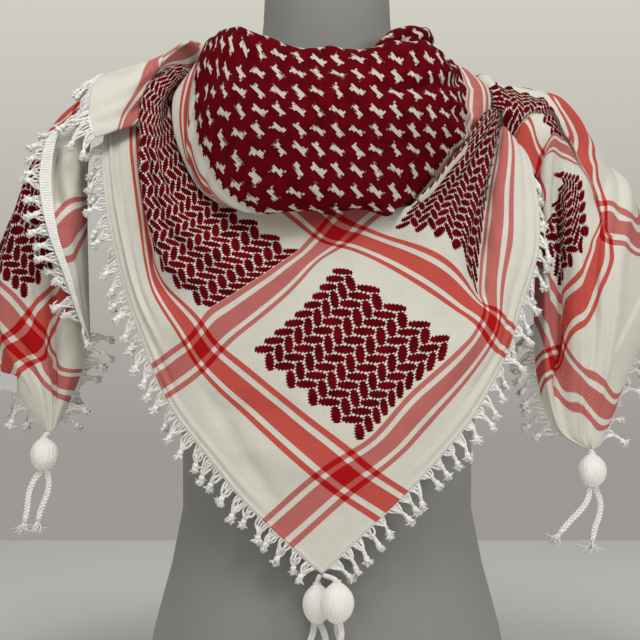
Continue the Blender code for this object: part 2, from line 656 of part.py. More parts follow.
def ends():
    right = sash(WRAP_OVER, RIGHT_SHOULDER, RIGHT_TAIL)
    left = sash(WRAP_UNDER, LEFT_SHOULDER)
    left_tail, left_flap = loft(drawn(LEFT_TAIL)), loft(drawn(LEFT_FLAP))
    stretch("back_wrap_over", right, lattice(RIGHT_ACROSS, shares(0.002, RIGHT_WRAP_END, 16)), 0.002)
    over = shares(RIGHT_WRAP_END + LOFT_SEAM, RIGHT_SHOULDER_END, 9)
    stretch("right_shoulder", right, lattice(RIGHT_ACROSS, over), 0.002)
    stretch("right_tail", right, lattice(RIGHT_ACROSS, RIGHT_TAIL_DOWN), 0.002)
    stretch("back_wrap_under", left, lattice(ACROSS, shares(0.002, LEFT_WRAP_END, 18)), 0.002)
    stretch("left_shoulder", left, lattice(ACROSS, shares(LEFT_WRAP_END + LOFT_SEAM, LEFT_HEM, 10)), 0.002)
    stretch("left_tail", left_tail, lattice(LEFT_TAIL_ACROSS, LEFT_TAIL_DOWN), 0.003)
    stretch("left_tail_flap", left_flap, lattice(shares(INNER, OUTER, 5), FLAP_DOWN), 0.003)
    return right, left, left_tail, left_flap


# ---------------------------------------------------------------- fringe
def fringe(name, hem, outward, facing, droop=0.35, gap=HEM_GAP):
    """A hem strip along a line of places, with knotted locks drawn out of its outer side.

    hem, outward and facing are functions of the length in metres from 0 to their own end.
    """
    length = hem.length
    count = max(1, int((length - 0.004) / LOCK_PITCH))
    pitch = length / count
    half = LOCK_WIDTH / 2
    stations = [0.0]
    for k in range(count):
        middle = pitch * (k + 0.5)
        stations += [middle - half, middle + half]
    stations.append(length)
    at = np.array(stations)
    spot, out, face = hem(at), outward(at), facing(at)
    near, far = gap, gap + TAPE_WIDTH
    corners = np.stack([
        spot + out * near + face * TAPE_WALL / 2,
        spot + out * far + face * TAPE_WALL / 2,
        spot + out * far - face * TAPE_WALL / 2,
        spot + out * near - face * TAPE_WALL / 2,
    ], 1)
    points = list(corners.reshape(-1, 3))
    faces = [[0, 1, 2, 3], [4 * (len(at) - 1) + i for i in (3, 2, 1, 0)]]
    down = np.array([0, 0, -1.0])
    for k in range(len(at) - 1):
        here, after = 4 * k, 4 * (k + 1)
        for i in (0, 2, 3):
            j = (i + 1) % 4
            faces.append([here + i, here + j, after + j, after + i])
        root = [here + 1, after + 1, after + 2, here + 2]
        if k % 2 == 0:
            faces.append(root)
            continue
        middle = (at[k] + at[k + 1]) / 2
        way, face_way = out[k] + out[k + 1], face[k] + face[k + 1]
        way = unit(unit(way) + down * droop * (1 + 0.5 * math.sin(5.1 * k)))
        face_way = unit(face_way - way * (face_way @ way))
        side = np.cross(way, face_way)
        if side @ (spot[k + 1] - spot[k]) < 0:
            side = -side
        start = (corners[k, 1] + corners[k + 1, 2]) / 2
        rows = [root]
        reach = LOCK_LENGTH * (1 + 0.12 * math.sin(3.7 * k + middle * 90))
        for share, wide, thick in ((0.78, 0.0034, 0.0030), (1.0, 0.0026, 0.0020)):
            centre = start + way * reach * share
            rows.append([len(points) + i for i in range(4)])
            for aside, above in ((-0.5, 0.5), (0.5, 0.5), (0.5, -0.5), (-0.5, -0.5)):
                points.append(centre + side * wide * aside + face_way * thick * above)
        for low, high in zip(rows, rows[1:]):
            for i in range(4):
                j = (i + 1) % 4
                faces.append([low[i], low[j], high[j], high[i]])
        faces.append(rows[-1])
    return solid(name, points, faces, white_thread())


class Line:
    """Places and ways along a hem, read by length."""

    def __init__(self, values, lengths):
        self.values, self.lengths, self.length = values, lengths, lengths[-1]

    def __call__(self, at):
        return np.stack([np.interp(at, self.lengths, self.values[:, i]) for i in range(3)], 1)


def hem_lines(surface, flat, inward):
    """A hem through flat points, and the ways out of the cloth and of its face; inward is a short step."""
    flat = np.array(flat, float)
    spots = surface(flat)
    inner = surface(flat + inward)
    step = max(abs(inward[0]), abs(inward[1]))
    face = normals(surface, flat + inward, step)
    out = unit(spots - inner)
    lengths = np.concatenate([[0], np.cumsum(np.linalg.norm(np.diff(spots, axis=0), axis=1))])
    return Line(spots, lengths), Line(out, lengths), Line(face, lengths)


def between(lines, low, high):
    return [at for at in lines if low <= at <= high]


def fringes(front, right, left, left_tail, left_flap):
    left_qs = [6, *Q_LINES[1:], *between(LEFT_Q_LINES, 0, 403)]
    fringe("fringe_front_left", *hem_lines(front, [(0, q) for q in left_qs], (2.0, 0)))
    right_ps = [6, *P_LINES[1:], *between(RIGHT_P_LINES, 0, 375)]
    fringe("fringe_front_right", *hem_lines(front, [(p, 0) for p in right_ps], (0, 2.0)))
    hem = [(u, LEFT_HEM) for u in between(ACROSS, 0, 0.4)]
    fringe("fringe_left_shoulder", *hem_lines(left, hem, (0, -0.004)), 0.9, FREE_GAP)
    hem = [(INNER, v) for v in between(FLAP_DOWN, 0.05, 0.97)]
    fringe("fringe_left_tail_flap", *hem_lines(left_flap, hem, (0.02, 0)), 0.1, FREE_GAP)
    for name, surface, u, rows, low, high in (
        ("fringe_left_tail_inner", left_tail, INNER, LEFT_TAIL_DOWN, 0.74, 0.97),
        ("fringe_left_tail_outer", left_tail, OUTER, LEFT_TAIL_DOWN, 0.74, 0.97),
        ("fringe_right_tail_inner", right, INNER, RIGHT_TAIL_DOWN, 0.85, 0.945),
        ("fringe_right_tail_outer", right, OUTER, RIGHT_TAIL_DOWN, 0.82, 0.99),
    ):
        inward = 0.01 if u == INNER else -0.01
        hem = [(u, v) for v in between(rows, low, high)]
        fringe(name, *hem_lines(surface, hem, (inward, 0)), gap=FREE_GAP)


# ---------------------------------------------------------------- tassels
# Sections of a thread-wrapped ball: share of its height from the top, share of its radius.
BALL_SECTIONS = ((0.04, 0.24), (0.14, 0.56), (0.28, 0.86), (0.48, 1.0), (0.68, 0.97), (0.84, 0.76),
                 (0.94, 0.42), (1.0, 0.2))
STALK_RADIUS = 0.0017


def tassel(name, tie, top, radius, height, cords):
    """A ball on a short stalk from its tie, with cords drawn out of its underside, each a list of steps."""
    tie, top = place([tie, top])
    turn = np.linspace(0, 2 * math.pi, TASSEL_SIDES, endpoint=False)
    around = np.stack([np.cos(turn), np.sin(turn), np.zeros(TASSEL_SIDES)], 1)
    points = list(tie + around * STALK_RADIUS)
    for share, wide in BALL_SECTIONS:
        points += list(top + (0, 0, -height * share) + around * radius * wide)
    sides = TASSEL_SIDES
    faces = [list(range(sides))]
    for k in range(len(BALL_SECTIONS)):
        for i in range(sides):
            j = (i + 1) % sides
            faces.append([k * sides + i, k * sides + j, (k + 1) * sides + j, (k + 1) * sides + i])
    last = len(BALL_SECTIONS) * sides
    hub = len(points)
    points.append(top + (0, 0, -height))
    quarter = sides // len(cords)
    starts = [last + k * quarter for k in range(len(cords))]
    roots = [[start, start + 1, start + 2, hub] for start in starts]
    for i in range(sides):
        here, after = last + i, last + (i + 1) % sides
        if not any(here in root[:2] for root in roots):
            faces.append([here, after, hub])
    for ring, steps in zip(roots, cords):
        for x, y, z, wide in steps:
            centre = top + np.array([x, y, -height - z])
            new = [len(points) + i for i in range(4)]
            points += ring_turn(points, ring, centre, wide)
            for i in range(4):
                j = (i + 1) % 4
                faces.append([ring[i], ring[j], new[j], new[i]])
            ring = new
        faces.append(ring)
    return solid(name, points, faces, white_thread())


def ring_turn(points, ring, centre, wide):
    """A square ring whose corners follow the ring above it without a twist."""
    above = np.array([points[i] for i in ring])
    middle = above.mean(0)
    found = []
    first = math.atan2(above[0][1] - middle[1], above[0][0] - middle[0])
    way = np.cross(above[0] - middle, above[1] - middle)[2]
    turn = 1 if way > 0 else -1
    for k in range(4):
        angle = first + turn * k * math.pi / 2
        found.append(centre + np.array([math.cos(angle), math.sin(angle), 0]) * wide * 0.7)
    return found


CORD_WIDTH = 0.0026
CORD_STEPS = 5


def cord_steps(across, near, sway, length):
    """A slack plaited cord: it leans out, sways and ends in a knot and a tuft."""
    wide = CORD_WIDTH
    rows = []
    for k in range(1, CORD_STEPS + 1):
        share = k / CORD_STEPS
        rows.append((across * share + sway * math.sin(4 * share), near * share, length * share, wide))
    rows.append((across * 1.05, near * 1.05, length * 1.05, wide * 1.8))
    rows.append((across * 1.1, near * 1.1, length * 1.12, wide * 1.2))
    rows.append((across * 1.25, near * 1.2, length * 1.4, wide * 2.0))
    return rows


def tassels():
    tassel("tassel_front_a", (324.2, 575.2, 122.4), (337, 580, 134), 0.0115, 0.031,
           [cord_steps(-0.006, -0.002, 0.003, 0.036), cord_steps(0.012, 0.002, -0.003, 0.034)])
    tassel("tassel_front_b", (320.2, 574.6, 120.6), (317, 582, 118), 0.0098, 0.030,
           [cord_steps(-0.012, 0.002, 0.002, 0.034), cord_steps(0.004, 0.004, 0.003, 0.036)])
    tassel("tassel_left_tail", (49.5, 432.2, 37.4), (44, 436, 37), 0.0112, 0.029,
           [cord_steps(-0.016, -0.001, -0.003, 0.038), cord_steps(-0.004, 0.002, 0.003, 0.038)])
    tassel("tassel_right_tail", (591, 449.2, 41), (592, 452, 41), 0.0112, 0.030,
           [cord_steps(-0.016, -0.001, 0.004, 0.034), cord_steps(0.003, 0.002, 0.004, 0.036)])


# ---------------------------------------------------------------- label
LABEL_SIZE = (0.022, 0.0012, 0.014)


def label():
    """A small bare woven label under the left tail's outer hem."""
    x, y, z = place([(4, 381, 39)])[0]
    points = []
    for up in (-0.5, 0.5):
        for across, through in ((-0.5, -0.5), (0.5, -0.5), (0.5, 0.5), (-0.5, 0.5)):
            tilt = across * 0.3 * LABEL_SIZE[0]
            corner = (x + across * LABEL_SIZE[0], y + through * LABEL_SIZE[1], z + up * LABEL_SIZE[2] - tilt)
            points.append(corner)
    faces = [[0, 1, 2, 3], [4, 5, 6, 7], [0, 1, 5, 4], [1, 2, 6, 5], [2, 3, 7, 6], [3, 0, 4, 7]]
    return solid("label", points, faces, label_tape())


def main():
    for old in list(bpy.data.objects):
        bpy.data.objects.remove(old)
    dress_form()
    front = drape(front_marks())
    front_stretches(front)
    cowl(front)
    neck_roll()
    fringes(front, *ends())
    tassels()
    label()


main()
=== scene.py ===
"""A keffiyeh headscarf on a grey dress form: the cloth, hems, fringes, tassels and light."""

import math

import bmesh
import bpy
import numpy as np
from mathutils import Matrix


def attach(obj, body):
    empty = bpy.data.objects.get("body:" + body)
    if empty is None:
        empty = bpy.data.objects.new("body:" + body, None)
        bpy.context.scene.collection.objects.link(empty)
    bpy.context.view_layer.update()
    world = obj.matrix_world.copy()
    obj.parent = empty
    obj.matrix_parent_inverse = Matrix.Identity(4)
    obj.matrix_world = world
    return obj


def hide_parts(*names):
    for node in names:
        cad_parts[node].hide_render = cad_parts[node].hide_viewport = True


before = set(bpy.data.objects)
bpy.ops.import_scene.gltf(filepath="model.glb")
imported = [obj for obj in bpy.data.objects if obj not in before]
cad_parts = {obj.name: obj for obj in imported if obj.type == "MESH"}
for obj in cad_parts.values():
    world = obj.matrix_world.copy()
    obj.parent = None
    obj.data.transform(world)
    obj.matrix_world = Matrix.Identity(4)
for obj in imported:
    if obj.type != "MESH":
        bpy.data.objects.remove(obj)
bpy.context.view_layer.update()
random = np.random.default_rng(7)

WALL = 0.0016           # thickness of the doubled cotton, in metres


def unit(vectors):
    return vectors / np.linalg.norm(vectors, axis=-1, keepdims=True)


# Stripe and block lines of the flat cloth: millimetres from its left hem (p) and its right hem (q).
P_BAND, P_BAND_2 = 70, 235
Q_BAND, Q_BAND_2 = 45, 199

# Front elevation grid. Shapes are drawn as (across, down, depth): grid steps across and down, as they look
# from VIEW metres in front of the form's centre plane, and millimetres in front of that plane.
GRID = 0.00086
CENTRE, FLOOR = 327, 720
EYE_ACROSS, EYE_DOWN = 320, 320
VIEW = 1.35


def place(points):
    """World places of (across, down, depth) rows."""
    across, down, depth = np.asarray(points, float).reshape(-1, 3).T
    near = 1 - depth * 0.001 / VIEW
    x = (EYE_ACROSS - CENTRE + (across - EYE_ACROSS) * near) * GRID
    z = (FLOOR - EYE_DOWN - (down - EYE_DOWN) * near) * GRID
    return np.stack([x, -depth * 0.001, z], 1)


def seen_at(world):
    """The (across, down) where world places are seen: place() the other way round."""
    x, y, z = np.moveaxis(world, -1, 0)
    near = 1 + y / VIEW
    across = EYE_ACROSS + (x / GRID - (EYE_ACROSS - CENTRE)) / near
    return across, EYE_DOWN + (FLOOR - EYE_DOWN - z / GRID) / near


# ---------------------------------------------------------------- surfaces
def bending_kernel(a, b):
    squared = ((a[:, None] - b[None]) ** 2).sum(2) + 1e-12
    return 0.5 * squared * np.log(squared)


def bent_through(at, goal, softness):
    """The smooth function that takes each pair of numbers in at to its row of goal, softness apart."""
    count = len(at)
    system = np.zeros((count + 3, count + 3))
    system[:count, :count] = bending_kernel(at, at) + softness * np.eye(count)
    system[:count, count] = system[count, :count] = 1
    system[:count, count + 1:] = at
    system[count + 1:, :count] = at.T
    weights = np.linalg.solve(system, np.vstack([goal, np.zeros((3, goal.shape[1]))]))

    def read(points):
        flat = points.reshape(-1, 2)
        out = bending_kernel(flat, at) @ weights[:count] + (weights[count] + flat @ weights[count + 1:])
        return out.reshape(*points.shape[:-1], -1)

    return read


def drape(marks):
    """The smooth sheet that carries each landmark of the flat cloth to its place.

    A landmark is (u, v, across, down, depth).
    """
    marks = np.asarray(marks, float)
    carried = bent_through(marks[:, :2] / 100, place(marks[:, 2:]), 0.0002)
    return lambda points: carried(np.asarray(points, float) / 100)


def spline_matrix(count, at):
    """Rows that blend evenly spaced values by a Catmull-Rom spline at the places 0 to count - 1."""
    out = np.zeros((len(at), count))
    for row, t in enumerate(at):
        k = min(int(t), count - 2)
        f = t - k
        square, cube = f * f, f ** 3
        blend = (-f + 2 * square - cube, 2 - 5 * square + 3 * cube, f + 4 * square - 3 * cube, cube - square)
        for j, weight in zip(range(k - 1, k + 3), blend):
            if 0 <= j < count:
                out[row, j] += weight
                continue
            end, next_in = (0, 1) if j < 0 else (-1, -2)
            out[row, end] += 2 * weight
            out[row, next_in] -= weight
    return out / 2


def drawn(sections):
    """The world places of a table of sections, each a row of (across, down, depth)."""
    return np.stack([place(row) for row in sections])


def loft(net):
    """The smooth sheet through a net of places, a row for each section; u and v run 0 to 1."""
    rows, columns = net.shape[:2]

    def surface(points):
        points = np.asarray(points, float)
        shape = points.shape[:-1]
        points = points.reshape(-1, 2)
        by_column = spline_matrix(columns, np.clip(points[:, 0], 0, 1) * (columns - 1))
        by_row = spline_matrix(rows, np.clip(points[:, 1], 0, 1) * (rows - 1))
        return np.einsum("nr,nc,rcd->nd", by_row, by_column, net).reshape(*shape, 3)

    return surface


def normals(surface, points, step):
    """Unit normals of a surface, towards the front of the cloth."""
    along_u = surface(points + (step, 0)) - surface(points - (step, 0))
    along_v = surface(points + (0, step)) - surface(points - (0, step))
    return unit(np.cross(along_u, along_v))


def lattice(us, vs):
    """The flat points where two sets of lines cross."""
    return np.stack(np.meshgrid(np.array(us, float), np.array(vs, float)), -1)


# ---------------------------------------------------------------- front panel and side folds
# Lines of the flat cloth across the left side, in millimetres from the left hem.
LEFT_LINES = {"hem": 0, "margin": 40, "stripe": 62, "tuck": 80,
              "edge": 97, "crest": 125, "slope": 160, "valley": 193}
# One row for each distance from the right hem: (across, down, depth) on each of those lines.
LEFT_SECTIONS = {
    216: ((151, 363, 98), (174, 346, 106), (186, 337, 110), (197, 324, 112),
          (207, 310, 114), (233, 293, 118), (266, 272, 120), (297, 252, 120)),
    258: ((131, 308, 93), (149, 303, 99), (158, 294, 99), (164, 286, 95),
          (167, 274, 104), (187, 258, 114), (218, 240, 114), (250, 221, 106)),
    300: ((119, 266, 88), (137, 262, 94), (147, 255, 92), (153, 250, 86),
          (150, 228, 99), (163, 222, 109), (188, 212, 106), (210, 196, 90)),
    345: ((108, 215, 82), (128, 212, 87), (141, 205, 84), (147, 200, 76),
          (139, 172, 92), (150, 170, 103), (168, 166, 95), (185, 156, 74)),
    388: ((103, 160, 70), (121, 156, 74), (135, 150, 72), (143, 146, 62),
          (139, 118, 82), (148, 117, 92), (160, 118, 84), (168, 110, 60)),
    415: ((106, 128, 54), (122, 124, 58), (135, 118, 56), (143, 112, 50),
          (146, 89, 68), (156, 90, 78), (167, 94, 68), (174, 88, 48)),
    450: ((118, 102, 26), (132, 97, 30), (143, 92, 30), (152, 88, 28),
          (176, 67, 44), (182, 70, 50), (187, 74, 44), (190, 74, 34)),
}
# The right side in the same way, with lines from the right hem and a row for each distance from the left hem.
RIGHT_LINES = {"hem": 0, "margin": 22, "stripe": 45, "tuck": 62,
               "crest": 90, "slope": 125, "edge": 166, "under": 185}
RIGHT_SECTIONS = {
    235: ((510, 343, 88), (501, 333, 95), (492, 322, 100), (482, 312, 102),
          (463, 298, 108), (427, 270, 117), (375, 246, 121), (352, 238, 121)),
    270: ((521, 306, 82), (508, 295, 88), (491, 284, 92), (478, 294, 90),
          (462, 250, 108), (434, 226, 118), (398, 222, 124), (381, 214, 117)),
    310: ((537, 255, 76), (520, 245, 82), (494, 238, 84), (483, 240, 78),
          (468, 215, 101), (447, 193, 118), (421, 196, 133), (424, 204, 124)),
    350: ((538, 205, 66), (520, 198, 72), (498, 190, 76), (489, 195, 70),
          (478, 180, 92), (464, 164, 110), (447, 167, 127), (450, 176, 118)),
    390: ((528, 158, 50), (518, 152, 56), (504, 146, 60), (497, 150, 56),
          (492, 138, 76), (484, 128, 90), (470, 139, 108), (474, 148, 98)),
    415: ((518, 136, 34), (512, 131, 38), (505, 126, 42), (501, 128, 42),
          (499, 118, 56), (493, 108, 68), (482, 121, 86), (486, 130, 76)),
}
# Places on the flat cloth between and below the sides: from left hem, from right hem, across, down, depth.
PANEL_MARKS = (
    (0, 0, 322, 574, 121),
    (0, 45, 277, 533, 118),
    (0, 85, 242, 499, 114),
    (0, 123, 210, 459, 108),
    (0, 174, 172, 408, 101),
    (70, 0, 393, 506, 117),
    (120, 0, 437, 460, 110),
    (165, 0, 473, 416, 102),
    (204, 0, 497, 373, 94),
    (P_BAND, Q_BAND, 345, 475, 124),
    (P_BAND, 89, 302, 439, 122),
    (P_BAND, 128, 264, 407, 118),
    (P_BAND, 160, 233, 381, 114),
    (P_BAND, Q_BAND_2, 201, 349, 110),
    (152, Q_BAND, 422, 406, 117),
    (189, Q_BAND, 456, 373, 109),
    (97, 62, 365, 440, 125),
    (193, 62, 455, 350, 112),
    (145, 114, 352, 352, 126),
    (97, 166, 250, 350, 118),
    (193, 166, 335, 265, 124),
    (110, Q_BAND_2, 233, 319, 116),
    (150, Q_BAND_2, 279, 284, 120),
    (P_BAND_2, Q_BAND_2, 335, 235, 121),
    (P_BAND_2, 240, 303, 208, 112),
    (275, 262, 335, 178, 102),
    (275, 215, 358, 190, 110),
)


def front_marks():
    """All of the front's landmarks."""
    marks = list(PANEL_MARKS)
    for q, row in LEFT_SECTIONS.items():
        marks += [(p, q, *spot) for p, spot in zip(LEFT_LINES.values(), row)]
    for p, row in RIGHT_SECTIONS.items():
        marks += [(p, q, *spot) for q, spot in zip(RIGHT_LINES.values(), row)]
    return marks


# ---------------------------------------------------------------- cowl
# Its own flat lines: a, millimetres to the right of the middle, and b, millimetres up from the bottom fold.
# Each row holds one b and (a, across, down, depth) along it.
COWL_SECTIONS = {
    0: ((-133, 236, 206, 108), (-91, 250, 210, 120), (-47, 267, 212, 131), (0, 330, 214, 137),
        (50, 393, 216, 131), (80, 426, 222, 114), (108, 448, 226, 96)),
    20: ((-153, 215, 200, 100), (-111, 224, 203, 114), (-67, 240, 203, 128), (0, 330, 191, 146),
         (40, 380, 192, 138), (65, 410, 193, 126), (95, 440, 196, 108), (125, 466, 204, 88)),
    38: ((-171, 198, 186, 94), (-129, 206, 190, 108), (-85, 222, 188, 124), (-40, 278, 167, 145),
         (0, 330, 166, 151), (50, 395, 166, 138), (80, 430, 166, 120), (110, 455, 165, 104),
         (146, 478, 170, 82)),
    62: ((-195, 180, 150, 84), (-153, 189, 154, 96), (-109, 201, 152, 114), (-60, 250, 136, 141),
         (0, 330, 135, 153), (50, 395, 135, 143), (80, 430, 136, 129), (117, 463, 138, 108),
         (141, 475, 139, 90), (170, 484, 142, 72)),
    86: ((-219, 173, 122, 74), (-177, 187, 123, 88), (-133, 196, 113, 107), (-80, 230, 104, 131),
         (-50, 265, 104, 143), (0, 330, 104, 150), (50, 395, 104, 143), (80, 430, 106, 129),
         (115, 456, 108, 110), (141, 465, 108, 94), (165, 478, 107, 88), (194, 490, 106, 66)),
    108: ((-241, 175, 94, 62), (-199, 190, 92, 76), (-155, 195, 75, 96), (-80, 228, 75, 121),
          (0, 330, 78, 139), (50, 395, 78, 132), (80, 430, 80, 119), (125, 456, 84, 98),
          (163, 464, 84, 82), (187, 475, 84, 74), (216, 486, 86, 54)),
    124: ((-257, 191, 72, 48), (-215, 198, 66, 62), (-170, 203, 50, 82), (-115, 216, 46, 102),
          (-80, 234, 48, 113), (-50, 265, 56, 121), (0, 330, 64, 127), (50, 395, 62, 121),
          (80, 428, 62, 112), (125, 448, 68, 94), (179, 458, 70, 74), (203, 466, 72, 62),
          (232, 474, 76, 42)),
    138: ((-200, 207, 46, 64), (-150, 212, 38, 78), (-115, 221, 31, 88), (-80, 238, 28, 96),
          (-50, 268, 38, 108), (0, 330, 47, 116), (50, 395, 42, 108), (80, 426, 42, 99),
          (110, 441, 52, 86), (150, 450, 60, 68), (200, 458, 66, 50)),
    152: ((-150, 218, 44, 62), (-115, 227, 36, 72), (-80, 243, 33, 80), (-50, 270, 43, 92),
          (0, 330, 54, 100), (50, 392, 49, 92), (80, 418, 48, 84), (110, 432, 58, 70),
          (150, 441, 66, 52)),
    176: ((-150, 220, 66, 56), (-80, 246, 62, 74), (0, 330, 80, 90), (60, 400, 76, 80), (120, 430, 78, 62)),
}
# Under the bottom fold the cloth lies on the front panel: a, and the panel's own lines there.
COWL_SEATS = ((-110, 212, 262), (-60, 236, 256), (0, 262, 226), (45, 270, 190))
COWL_SEAT_B = -22
COWL_TOP_B = 176


# Its side edges, both tucked away: b, the left edge's a, the right edge's a.
COWL_EDGES = (
    (-22, -114, 38), (0, -133, 48), (8, -141, 52), (14, -148, 62), (22, -156, 98), (34, -167, 142),
    (60, -193, 168), (90, -223, 198), (124, -257, 232), (138, -206, 200), (152, -152, 152), (176, -150, 122),
)


def cowl_edge(column):
    """A side edge's a, as a function of the share of the way up."""
    table = np.array(COWL_EDGES, float)

    def edge(share):
        return np.interp(COWL_SEAT_B + (COWL_TOP_B - COWL_SEAT_B) * share, table[:, 0], table[:, column])

    return edge


def lifted(surface, spot, height):
    """A surface's place and the way out of it, as an (across, down, depth) row."""
    flat = np.array(spot, float)
    world = surface(flat) + normals(surface, flat, 1.0) * height
    return (*seen_at(world), -world[1] * 1000)


def cowl_surface(front):
    """The cowl, seated on the front just below its bottom fold."""
    marks = [(a, b, *spot) for b, row in COWL_SECTIONS.items() for a, *spot in row]
    marks += [(a, COWL_SEAT_B, *lifted(front, spot, WALL + 0.0005)) for a, *spot in COWL_SEATS]
    return drape(marks)


# ---------------------------------------------------------------- neck roll and back wraps
# The cloth's folded edge goes round the neck inside the cowl: turn from the front, half width, front or back
# reach, top height, bottom height.
ROLL_SECTIONS = (
    (0, 74, 80, 552, 522), (25, 80, 82, 562, 534), (45, 92, 84, 586, 552), (65, 96, 82, 588, 562),
    (90, 88, 74, 576, 562), (135, 86, 82, 578, 562), (180, 82, 84, 580, 562), (225, 86, 82, 578, 562),
    (270, 88, 74, 574, 560), (300, 86, 80, 570, 554), (330, 80, 82, 558, 534),
)


# Each end crosses the back from its own side of the neck to the other shoulder, in upright sections:
# x, y, top height, bottom height, bulge, and how far the top and bottom edges lean in, all in millimetres.
WRAP_OVER = (
    (-92, -20, 574, 560, 1, 0, 0),
    (-96, 24, 578, 560, 3, 2, 0),
    (-84, 68, 582, 556, 5, 6, 0),
    (-52, 101.4, 584, 542, 9, 10, 1),
    (-6, 112, 583, 500, 12, 14, 9.6),
    (44, 112, 578, 480, 13, 12, 16),
    (84, 98, 570, 488, 12, 8, 12),
)
WRAP_UNDER = (
    (92, -16, 572, 558, 1, 0, 0),
    (96, 24, 574, 557, 3, 2, 0),
    (82, 66, 574, 540, 5, 5, 0),
    (46, 90, 570, 510, 7, 3, 6),
    (0, 98, 560, 486, 7, 3, 11),
    (-46, 97, 540, 474, 6, 2, 11),
    (-88, 86, 539, 480, 6, 0, 4),
)
# Then it lies over that shoulder and hangs: a row for each section towards its hem, its columns from the
# inner front edge over the crest to the back.
RIGHT_SHOULDER = (
    ((487, 104, 27), (485, 92, 22), (480, 82, 10), (476, 78, -4), (472, 79, -22), (468, 84, -42),
     (463, 95, -62), (457, 110, -78), (450, 128, -88)),
    ((506, 120, 42), (503, 106, 37), (498, 93, 22), (494, 88, 4), (490, 88, -16), (486, 95, -38),
     (481, 108, -58), (476, 124, -72), (470, 142, -80)),
    ((521, 131, 52), (520, 116, 46), (517, 101, 32), (515, 93, 14), (513, 91, -8), (510, 97, -32),
     (506, 110, -50), (501, 128, -64), (496, 148, -70)),
    ((535, 140, 55), (536, 124, 51), (537, 108, 38), (538, 99, 18), (538, 97, -6), (536, 102, -28),
     (532, 116, -46), (527, 136, -57), (522, 158, -62)),
    ((545, 150, 50), (549, 132, 49), (554, 116, 38), (558, 108, 20), (560, 105, -4), (560, 110, -26),
     (557, 124, -42), (552, 146, -52), (548, 170, -56)),
)
RIGHT_TAIL = (
    ((542, 166, 42), (550, 156, 46), (560, 146, 38), (571, 136, 26), (580, 131, 2), (584, 136, -20),
     (583, 150, -36), (579, 170, -46), (574, 192, -50)),
    ((539, 200, 36), (548, 196, 42), (559, 192, 32), (574, 184, 36), (592, 172, 22), (604, 166, -4),
     (608, 172, -26), (606, 188, -38), (600, 208, -42)),
    ((537, 240, 33), (547, 238, 42), (559, 236, 30), (574, 232, 42), (591, 226, 36), (610, 214, 32),
     (630, 200, 8), (634, 206, -18), (628, 224, -32)),
    ((535, 282, 34), (546, 282, 43), (559, 282, 31), (575, 280, 44), (591, 278, 41), (606, 272, 44),
     (627, 262, 32), (646, 250, 4), (640, 262, -22)),
    ((534, 326, 35), (546, 326, 43), (559, 326, 33), (575, 326, 45), (592, 324, 43), (607, 322, 45),
     (627, 316, 36), (649, 308, 14), (646, 312, -8)),
    ((537, 378, 37), (547, 379, 43), (558, 381, 36), (574, 383, 44), (589, 384, 44), (601, 385, 42),
     (611, 385, 38), (621, 384, 30), (626, 378, 18)),
    ((552, 426, 39), (559, 428, 42), (567, 431, 40), (576, 433, 43), (585, 435, 43), (593, 435, 42),
     (600, 433, 40), (606, 429, 36), (609, 424, 31)),
    ((582, 447, 40), (585, 448, 41), (587, 449, 41), (590, 449, 41), (592, 449, 41), (594, 449, 41),
     (596, 448, 40), (598, 447, 40), (600, 446, 39)),
)
LEFT_SHOULDER = (
    ((168, 74, 30), (172, 66, 22), (182, 54, 12), (196, 46, 0), (202, 48, -20), (204, 60, -44),
     (204, 78, -68), (204, 100, -84), (204, 124, -92)),
    ((148, 90, 46), (152, 80, 42), (160, 66, 32), (172, 57, 16), (178, 56, -8), (180, 66, -36),
     (180, 84, -58), (180, 106, -72), (180, 132, -80)),
    ((137, 122.5, 71), (139.5, 101, 61), (142, 80, 50), (149, 66, 30), (154, 61, 4), (156, 68, -26),
     (156, 86, -48), (156, 110, -62), (156, 138, -70)),
    ((116, 131, 80), (115, 112, 74), (117, 90, 60), (124, 74, 40), (129, 69, 8), (131, 76, -20),
     (131, 92, -40), (131, 116, -54), (132, 144, -60)),
    ((95, 139, 80), (89, 120, 76), (91, 96, 64), (100, 79, 44), (105, 74, 10), (107, 80, -16),
     (107, 96, -36), (108, 120, -50), (110, 148, -56)),
)
# Under that hem the second layer of the same end goes on down.
LEFT_TAIL = (
    ((112, 118, 62), (112, 102, 56), (113, 89, 40), (115, 80, 18), (116, 79, -4), (117, 84, -22),
     (118, 98, -36), (118, 116, -46)),
    ((98, 122, 56), (92, 113, 52), (87, 106, 42), (82, 101, 26), (80, 100, 4), (82, 104, -16),
     (86, 116, -32), (90, 134, -42)),
    ((88, 142, 44), (76, 138, 43), (66, 135, 40), (58, 133, 34), (50, 135, 12), (52, 140, -10),
     (58, 150, -28), (64, 166, -38)),
    ((86, 180, 40), (70, 180, 45), (56, 181, 43), (42, 181, 45), (27, 183, 22), (26, 188, -6),
     (34, 196, -24), (42, 206, -34)),
    ((86, 236, 38), (70, 238, 46), (54, 240, 42), (34, 238, 47), (10, 240, 28), (2, 242, -2),
     (12, 246, -20), (22, 252, -28)),
    ((87, 292, 36), (72, 294, 46), (53, 296, 40), (30, 296, 47), (2, 294, 34), (-12, 292, 8),
     (-6, 292, -12), (6, 294, -20)),
    ((88, 346, 31), (72, 348, 43), (52, 348, 38), (32, 347, 45), (8, 344, 37), (-8, 340, 22), (-14, 336, 4),
     (-6, 334, -8)),
    ((76, 386, 32), (66, 388, 41), (54, 389, 38), (43, 390, 43), (31, 388, 41), (20, 385, 37),
     (12, 382, 32), (7, 380, 26)),
    ((54, 430, 36), (53, 431, 37), (52, 432, 37), (50, 433, 38), (49, 433, 38), (48, 432, 37),
     (47, 431, 37), (46, 430, 36)),
)
